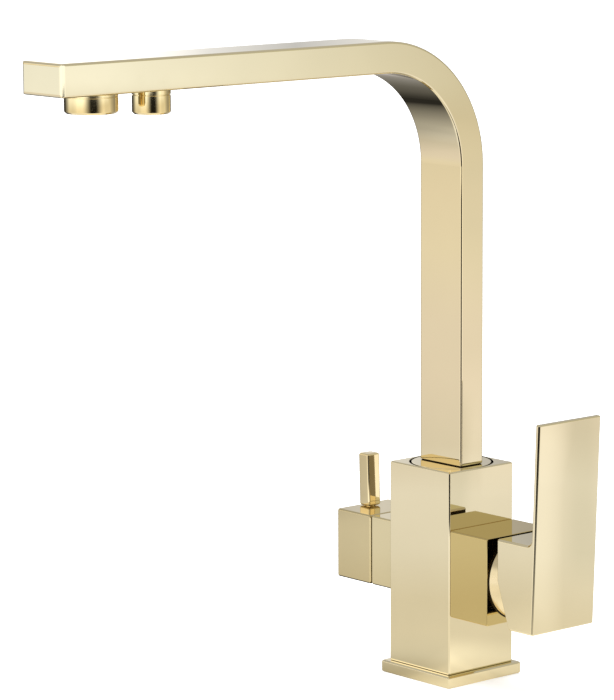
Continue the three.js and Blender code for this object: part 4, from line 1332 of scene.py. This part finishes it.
@dataclass(frozen=True)
class MirroredFloor:
    """How bright the studio's floor looks in polished faces, by direction and by distance.

    The tables pair a direction in degrees, or a distance in metres, with a tone.
    """

    albedo: float = 0.34
    reach: float = 6.0
    # The dark tones closest to the tap are painted shade of the tap on the floor, as mirrors show it.
    by_distance: tuple[tuple[float, Colour], ...] = (
        (0.0, (0.16, 0.13, 0.05)), (0.03, (0.20, 0.17, 0.10)), (0.07, (0.35, 0.34, 0.31)),
        (0.12, (0.40, 0.38, 0.34)), (0.20, (0.38, 0.36, 0.32)), (0.33, (0.45, 0.46, 0.50)),
        (0.50, (0.48, 0.49, 0.55)), (0.65, (0.39, 0.37, 0.38)), (0.90, (0.45, 0.41, 0.43)),
        (1.20, (0.48, 0.44, 0.45)), (1.70, (0.53, 0.49, 0.43)), (2.20, (0.54, 0.49, 0.42)),
        (2.65, (0.50, 0.46, 0.38)), (3.10, (0.40, 0.37, 0.29)), (3.60, (0.43, 0.42, 0.36)),
        (5.90, (0.46, 0.46, 0.44)),
    )
    by_direction: tuple[Pair, ...] = (
        (-180, 0.03), (-174, 0.03), (-172, 0.09), (-166, 0.21), (-158, 0.36), (-150, 0.56),
        (-145, 0.80), (-141, 0.95), (-136, 1.0), (-118, 1.0), (-106, 1.1), (-98, 1.26), (-64, 1.30),
        (-41, 1.2), (-12, 1.24), (14, 1.18), (22, 1.04), (45, 1.02), (56, 0.70), (75, 0.42),
        (118, 0.34), (136, 0.60), (141, 0.66), (145, 0.36), (149, 0.28), (154, 0.23), (161, 0.16),
        (169, 0.12), (177, 0.055), (180, 0.04),
    )
    brightest: float = 1.3
    patches: tuple[Patch, ...] = (
        Patch("ADD", (0.38, 0.46, 0.64), Band(rise=(3.0, 3.8), smooth=True), Band(fall=(35.0, 43.5))),
        Patch("MULTIPLY", (0.80, 0.82, 0.80), Band((0.26, 0.34), (0.62, 0.90)), BACK_SIDE,
              Band((0.042, 0.058), (0.064, 0.084), True)),
        Patch("MULTIPLY", (0.84, 0.86, 0.87), Band((1.3, 1.9), (2.4, 3.0)), BACK_SIDE),
    )
    base_glow: float = 0.42
    base_x: float = 0.05
    base_band: Band = Band(fall=(0.015, 0.085), smooth=True)
    stripe_glow: Colour = (1.0, 1.05, 1.25)
    stripe_tones: Pair = (-0.22, 0.15)
    stripe_aside: Pair = (0.054, 0.098)
    stripe_start: Band = Band(rise=(0.036, 0.054))
    stripe_end: Band = Band(fall=(0.62, 0.90))
    behind_glow: float = 0.10
    behind_band: Band = Band((0.48, 0.60), (0.75, 1.10))
    near_turn: float = 4.0
    near_bands: tuple[Band, Band] = (Band(fall=(0.38, 0.42)), Band(rise=(-149.5, -146.0)))
    far_turn: float = -2.3
    far_band: Band = Band((0.42, 0.47), (1.2, 1.6))
    turned_side: Band = Band(fall=(-139.5, -137.5))
    room: DarkRoom = DarkRoom()

    def glow(self, nodes: Nodes, x: Socket, y: Socket, distance: Socket, azimuth: Socket) -> Socket:
        """The floor's own light in mirrors, with its lighter and darker patches.

        Args:
            nodes: the floor material's nodes.
            x: the place's X in metres.
            y: the place's Y in metres.
            distance: how far the place lies from the tap.
            azimuth: its direction from the tap.

        Returns:
            The light's colour.
        """
        stops = [(math.sqrt(metres), colour) for metres, colour in self.by_distance]
        light = nodes.ramp(nodes.math("SQRT", distance), (0.0, math.sqrt(self.reach)), stops)
        offset = nodes.math("SUBTRACT", x, self.base_x)
        squares = nodes.math("ADD", nodes.times(offset, offset), nodes.times(y, y))
        near = self.base_band.share(nodes, nodes.math("SQRT", squares))
        light = nodes.mixed(near, light, grey(self.base_glow), "ADD")
        aside = nodes.math("SUBTRACT", x, y)
        for patch in self.patches:
            light = patch.on(nodes, light, (distance, azimuth, aside))
        stripe = nodes.times(nodes.ranged(aside, self.stripe_aside, self.stripe_tones, smooth=True),
                             self.stripe_start.share(nodes, aside),
                             self.stripe_end.share(nodes, distance))
        behind = nodes.times(self.behind_band.share(nodes, distance), self.behind_glow)
        stripe = nodes.times(nodes.math("ADD", stripe, behind), BACK_SIDE.share(nodes, azimuth))
        return nodes.mixed(stripe, light, self.stripe_glow, "ADD")

    def tones(self, nodes: Nodes, x: Socket, y: Socket) -> tuple[Socket, Socket]:
        """The floor's own light in mirrors and how much of it and of the lit floor shows.

        Args:
            nodes: the floor material's nodes.
            x: the place's X in metres.
            y: the place's Y in metres.

        Returns:
            The light's colour and the share that shows.
        """
        distance = nodes.math("SQRT", nodes.math("ADD", nodes.times(x, x), nodes.times(y, y)))
        azimuth = nodes.azimuth(x, y)
        near, beside = self.near_bands
        turn = nodes.math(
            "ADD",
            nodes.times(near.share(nodes, distance), beside.share(nodes, azimuth), self.near_turn),
            nodes.times(self.far_band.share(nodes, distance), self.far_turn),
        )
        turn = nodes.times(turn, self.turned_side.share(nodes, azimuth))
        stops = [(degrees, grey(tone / self.brightest)) for degrees, tone in self.by_direction]
        direction = nodes.ramp(nodes.math("ADD", azimuth, turn), (-180.0, 180.0), stops)
        lit = nodes.math("SUBTRACT", 1.0, self.room.share(nodes, azimuth, distance))
        return (self.glow(nodes, x, y, distance, azimuth),
                nodes.times(direction, self.brightest, lit))


@dataclass
class Studio:
    """A pale floor, a soft sky and two large lamps."""

    floor_half: float = 12.0
    floor_albedo: float = 0.80
    seen_glow: float = 0.56
    sky_lit: float = 0.66
    lamp_power: float = 150.0
    lamp_size: float = 2.8
    lamps: tuple[tuple[str, tuple[float, float, float]], ...] = (
        ("key_lamp", (1.9, -1.5, 4.8)), ("fill_lamp", (-1.5, 1.7, 4.8)))
    lamp_target: tuple[float, float, float] = (0, -0.05, 0.15)
    mirrored: MirroredFloor = MirroredFloor()
    sky_by_direction: tuple[tuple[float, Colour], ...] = (
        (-180, grey(0.35)), (-152, (0.70, 0.62, 0.45)), (-141, (1.02, 0.90, 0.64)),
        (-128, (1.02, 0.90, 0.64)), (-104, grey(1.1)), (-64, grey(1.2)), (-50, grey(0.5)),
        (-30, grey(0.35)), (-12, grey(0.95)), (20, grey(0.95)), (36, (0.72, 0.72, 0.58)),
        (50, (0.66, 0.65, 0.48)), (80, grey(0.50)), (125, grey(0.42)), (134.8, grey(0.50)),
        (135.9, grey(0.55)), (136.9, grey(0.74)), (137.7, grey(0.92)), (138.5, grey(0.58)),
        (139.6, grey(0.62)), (141, grey(0.98)), (142.1, grey(1.5)), (144, grey(1.6)),
        (158, grey(0.80)), (180, grey(0.35)),
    )
    panel: Colour = (1.70, 1.75, 1.90)
    panel_azimuth: Band = Band((-152.0, -142.0), (-128.0, -118.0))
    panel_height: Band = Band(rise=(0.19, 0.225))
    overhead: float = 0.60
    overhead_height: Band = Band(rise=(0.30, 0.48))

    def floor(self) -> None:
        """A pale plain floor, which glows a little for the camera and for mirrors."""
        mesh = bmesh.new()
        bmesh.ops.create_grid(mesh, x_segments=1, y_segments=1, size=self.floor_half)
        floor = piece_of("floor", mesh)
        material = bpy.data.materials.new("studio_floor")
        material.use_nodes = True
        nodes = Nodes(material.node_tree)
        nodes.tree.nodes.remove(nodes.tree.nodes["Principled BSDF"])
        camera, mirror = nodes.rays()
        coordinates = nodes.add("ShaderNodeTexCoord").outputs["Object"]
        place = nodes.add("ShaderNodeSeparateXYZ", {0: coordinates}).outputs
        light, share = self.mirrored.tones(nodes, place["X"], place["Y"])
        matt, glow = nodes.add("ShaderNodeBsdfDiffuse"), nodes.add("ShaderNodeEmission")
        for whole, part, node in ((grey(self.floor_albedo), grey(self.mirrored.albedo), matt),
                                  (grey(self.seen_glow), light, glow)):
            toned = nodes.mixed(1.0, part, share, "MULTIPLY")
            nodes.feed(nodes.mixed(mirror, whole, toned), node, "Color")
        nodes.feed(nodes.math("MAXIMUM", camera, mirror), glow, "Strength")
        both = nodes.add("ShaderNodeAddShader", {0: matt.outputs[0], 1: glow.outputs[0]})
        nodes.feed(both.outputs[0], nodes.tree.nodes["Material Output"], "Surface")
        floor.data.materials.append(material)

    def sky(self) -> None:
        """A world that is white for the camera, even for light and uneven for mirrors."""
        world = bpy.data.worlds.new("studio")
        bpy.context.scene.world = world
        world.use_nodes = True
        nodes = Nodes(world.node_tree)
        camera, mirror = nodes.rays()
        coordinates = nodes.add("ShaderNodeTexCoord").outputs["Generated"]
        way = nodes.add("ShaderNodeSeparateXYZ", {0: coordinates}).outputs
        azimuth, up = nodes.azimuth(way["X"], way["Y"]), way["Z"]
        shown = nodes.ramp(azimuth, (-180.0, 180.0), self.sky_by_direction)
        panel = nodes.times(self.panel_azimuth.share(nodes, azimuth),
                            self.panel_height.share(nodes, up))
        shown = nodes.mixed(panel, shown, self.panel)
        shown = nodes.mixed(self.overhead_height.share(nodes, up), shown, grey(self.overhead))
        seen = nodes.mixed(mirror, grey(self.sky_lit), shown)
        nodes.feed(nodes.mixed(camera, seen, grey(1.0)), world.node_tree.nodes["Background"], "Color")

    def lamp(self, name: str, place: Sequence[float]) -> None:
        """A soft square lamp that looks at the tap.

        Args:
            name: its name.
            place: where it hangs, in metres.
        """
        data = bpy.data.lights.new(name, "AREA")
        data.size = self.lamp_size
        data.energy = self.lamp_power
        lamp = bpy.data.objects.new(name, data)
        bpy.context.scene.collection.objects.link(lamp)
        lamp.location = place
        way = Vector(self.lamp_target) - lamp.location
        lamp.rotation_euler = way.to_track_quat("-Z", "Y").to_euler()
        lamp.visible_glossy = False

    def build(self) -> None:
        """Sets up the floor, the sky and the lamps."""
        self.floor()
        self.sky()
        for name, place in self.lamps:
            self.lamp(name, place)
        LOG.info("studio set up")


# ---- Camera --------------------------------------------------------------------------------


@dataclass(frozen=True)
class PhotoCamera:
    """The camera that the photograph was taken with, as fitted to the tap's edges."""

    place: tuple[float, float, float] = (1.30168, -1.2273, 0.45723)
    right: tuple[float, float, float] = (0.65585, 0.75488, -0.00476)
    up: tuple[float, float, float] = (-0.11665, 0.10757, 0.98733)
    back: tuple[float, float, float] = (0.74582, -0.64698, 0.15861)
    lens: float = 121.04
    sensor: float = 24.0
    sees_to: float = 100.0

    def build(self) -> None:
        """Puts the camera in the scene."""
        data = bpy.data.cameras.new("photo_camera")
        data.sensor_fit = "VERTICAL"
        data.sensor_height = self.sensor
        data.lens = self.lens
        data.clip_end = self.sees_to
        camera = bpy.data.objects.new("photo_camera", data)
        bpy.context.scene.collection.objects.link(camera)
        turn = Matrix((self.right, self.up, self.back)).transposed().to_4x4()
        camera.matrix_world = Matrix.Translation(self.place) @ turn
        bpy.context.scene.camera = camera


def main() -> None:
    """Builds the studio and the tap, and logs each part as it is done."""
    logging.basicConfig(level=logging.INFO, format="%(name)s: %(message)s")
    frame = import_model()
    bpy.context.scene.view_settings.view_transform = "Standard"
    PhotoCamera().build()
    Studio().build()
    InnerPieces().build(frame["nodes"])
    for part in (Base(), Spout(), Mixer(), Lever(), FilterValve()):
        part.build()
        LOG.info("%s done", type(part).__name__)


if __name__ == "__main__":
    main()
